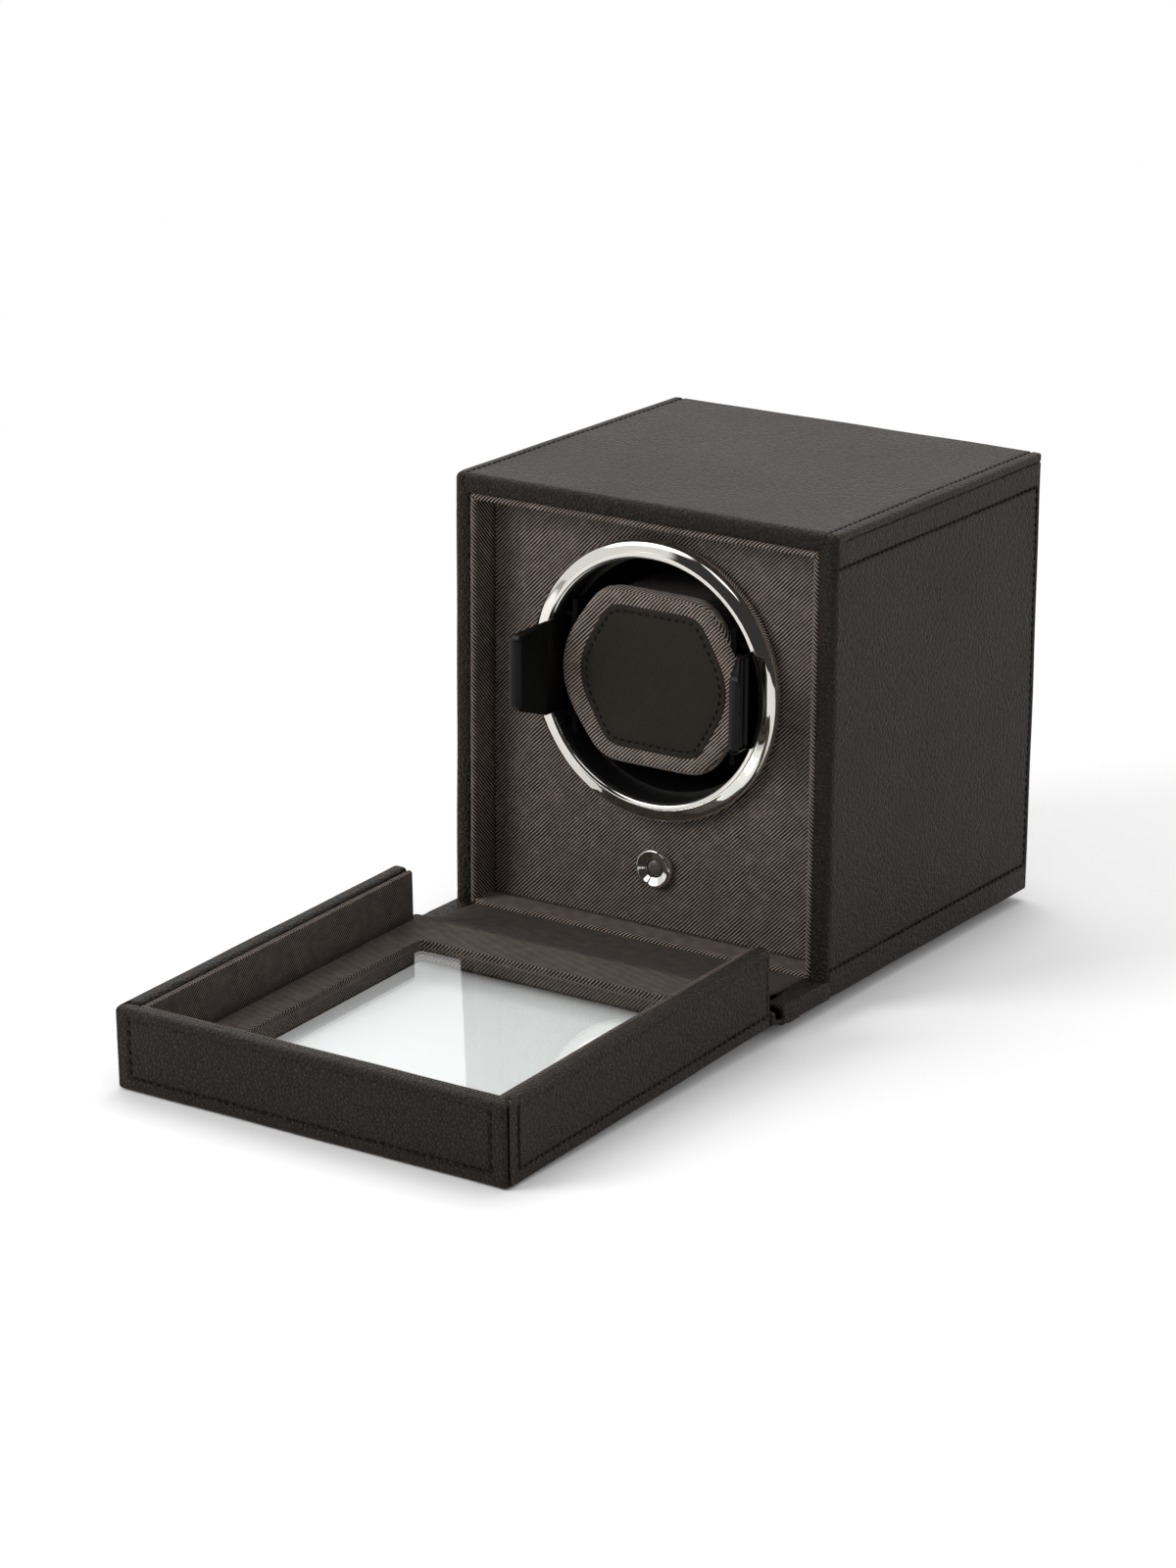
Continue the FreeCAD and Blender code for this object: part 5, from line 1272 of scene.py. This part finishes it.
def addCuffFace():
    outline = eightSidedLoop(*cuff["plate"], softness=cuff["plateSoftness"])
    back, crest = cuff["plateBack"], cuff["crest"]
    edge = behind(back, cuff["plateRear"]) + behind(crest, cuff["plateFront"])
    # The face's twill is a lighter copy: painted light.
    face = addPlated("cuffFace", [platedPart(outline, edge, behind(crest, cuff["plateInner"])),
                                  platedPart(outline, edge[:1], [(share, back) for share in (0.7, 0.4, 0.0)])],
                     "twillCuffLit", "twill")
    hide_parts("cuff_face")


def addCuffPad(outline):
    # Its middle is domed as a parabola.
    level, dome = cuff["padFace"], cuff["padDome"]
    edge = behind(level, cuff["padEdge"]) + behind(level, cuff["padGroove"], cuff["stitchInset"])
    middleLevel = level + cuff["padGroove"][-1][1]
    fill = [(share, middleLevel - dome * (1 - share ** 2)) for share in cuff["padFill"]]
    rear = [(share, edge[0][1]) for share in (0.6, 0.0)]
    pad = addPlated("cuffPad", [platedPart(outline, edge, fill), platedPart(outline, edge[:1], rear)],
                    "padLeather", "leather")
    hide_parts("cuff_leather")


def addCuffStitches(outline):
    outward, ahead = loopNormals(outline)
    line = outline - outward * cuff["stitchInset"]
    line, ahead = np.vstack([line, line[:1]]), np.vstack([ahead, ahead[:1]])
    lengths = runLength(line)
    count = int(lengths[-1] / (stitch["pitch"] * 0.98))
    stations = (np.arange(count) + 0.5) * lengths[-1] / count
    spots, aims = readAlong(line, lengths, stations), readAlong(ahead, lengths, stations)
    aims /= np.linalg.norm(aims, axis=1, keepdims=True)
    level = cuff["padFace"] + 0.04
    centres = atAxis(np.column_stack([spots[:, 0], np.full(count, level), spots[:, 1]]))
    along = np.column_stack([aims[:, 0], np.zeros(count), aims[:, 1]])
    addStitches("cuffStitches", [(centres, along, np.repeat([[0.0, -1.0, 0.0]], count, axis=0))], "drum")


def addCuffBody():
    # Drawn in where it meets the plate, as an exponential fall, and at its end, as a parabola.
    outline = eightSidedLoop(*cuff["body"], softness=cuff["bodySoftness"])
    start, end = cuff["plateBack"] - 0.5, cuff["bodyEnd"]
    share = np.linspace(0, 1, 26)
    (neck, neckReach), (close, closeReach) = cuff["bodyNeck"], cuff["bodyClose"]
    pinch = neck * np.exp(-share / neckReach) + close * np.clip((share - 1 + closeReach) / closeReach, 0, 1) ** 2
    section = list(zip(pinch, start + share * (end - start)))
    # The body's twill is a much darker copy: painted shadow behind the plate.
    body = addPlated("cuffBody", [platedPart(outline, section, [(inner, end) for inner in (0.8, 0.5, 0.0)]),
                                  platedPart(outline, section[:1], [(inner, start) for inner in (0.5, 0.0)])],
                     "twillPaintedShadow", "twill")
    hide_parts("cuff_padding")


# The grip wings. Root and growth are for the blade's inner side, its outer side and half its height.
grip = {
    "rootY": 35.2,
    "bendY": 22.8,
    "tipY": 12.2,
    "root": (34.8, 36.2, 15.3),
    "growth": (3.9, 6.7, -3.3),
    "rows": 150,
    "columns": 72,
    "endPower": 30,
    "square": 0.22,
    "ribs": 5,
    "ribDepth": 0.9,
    "ribStart": 0.32,
    "ribReach": 0.58,
    "ribPower": 0.7,
    "ribEdge": 0.93,
    "endThick": 0.05,
    "endHeight": 0.9,
}


def addGrip(name, side, node):
    # Across the height, the blade is a rounded bar; along its length its middle line turns
    # outwards at the bend, its thickness grows and its height falls. Between its ribs, which are
    # sharp, it is hollowed as the size of a sine.
    rows, columns, square = grip["rows"], grip["columns"], grip["square"]
    t = np.linspace(0, 1, rows)
    y = grip["rootY"] + (grip["tipY"] - grip["rootY"]) * t
    bendShare = np.clip((grip["bendY"] - y) / (grip["bendY"] - grip["tipY"]), 0, 1)
    inner, outer, half = [root + growth * bendShare for root, growth in zip(grip["root"], grip["growth"])]
    endSoft = np.sqrt(np.clip(1 - ((t - 0.5) / 0.5) ** grip["endPower"], 0, 1))
    centre, thick = (inner + outer) / 2, (outer - inner) / 2 * np.maximum(endSoft, grip["endThick"])
    turn = np.linspace(0, 2 * math.pi, columns, endpoint=False)
    sideShape, highShape = [np.sign(wave) * np.abs(wave) ** square for wave in (np.cos(turn), np.sin(turn))]
    ribShare = np.clip((t - grip["ribStart"]) / grip["ribReach"], 0, 1)
    ribWave = np.abs(np.sin(math.pi * grip["ribs"] * ribShare)) ** grip["ribPower"]
    carve = grip["ribDepth"] * ribWave[:, None] * np.clip(np.cos(turn), 0, 1)[None, :] ** 0.5
    carve = carve * (np.abs(highShape) < grip["ribEdge"])
    points = gridOf(side * (centre[:, None] + thick[:, None] * sideShape - carve), y[:, None],
                    (half * np.maximum(endSoft, grip["endHeight"]))[:, None] * highShape)
    # The ends are closed by strips from one side to the other.
    k = np.arange(columns // 2 - 1)
    strip = np.stack([k, k + 1, (columns - 2 - k) % columns, columns - 1 - k], axis=1)
    quads = [gridFaces(rows, columns, False, True), strip, strip + (rows - 1) * columns]
    blade = addPiece(name, atAxis(points), np.concatenate(quads), "gloss_black", "gloss_black", node)
    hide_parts(node)


addTopSkin()
addSideSkin("leftSkin", -1, "left_leather")
addSideSkin("rightSkin", 1, "right_leather")
addBackSkin()
addBaseSkin()
print("case leather done")
addJambFabric()
addHingeFabric()
addHingeStrip()
addHingeEnds()
print("opening and hinge done")
addNearSkin()
addWallSkin("leftWallSkin", -1, "left_wall_leather")
addWallSkin("rightWallSkin", 1, "right_wall_leather")
addWallFabric()
addRailFabric()
addUnderSkin()
print("cover done")
addRing()
addButton()
addCuffFace()
padOutline = eightSidedLoop(*cuff["pad"], softness=cuff["padSoftness"])
addCuffPad(padOutline)
addCuffStitches(padOutline)
addCuffBody()
addGrip("leftWing", -1, "left_grip")
addGrip("rightWing", 1, "right_grip")
print("ring, button and cuff done")

addCamera()
addStudio()
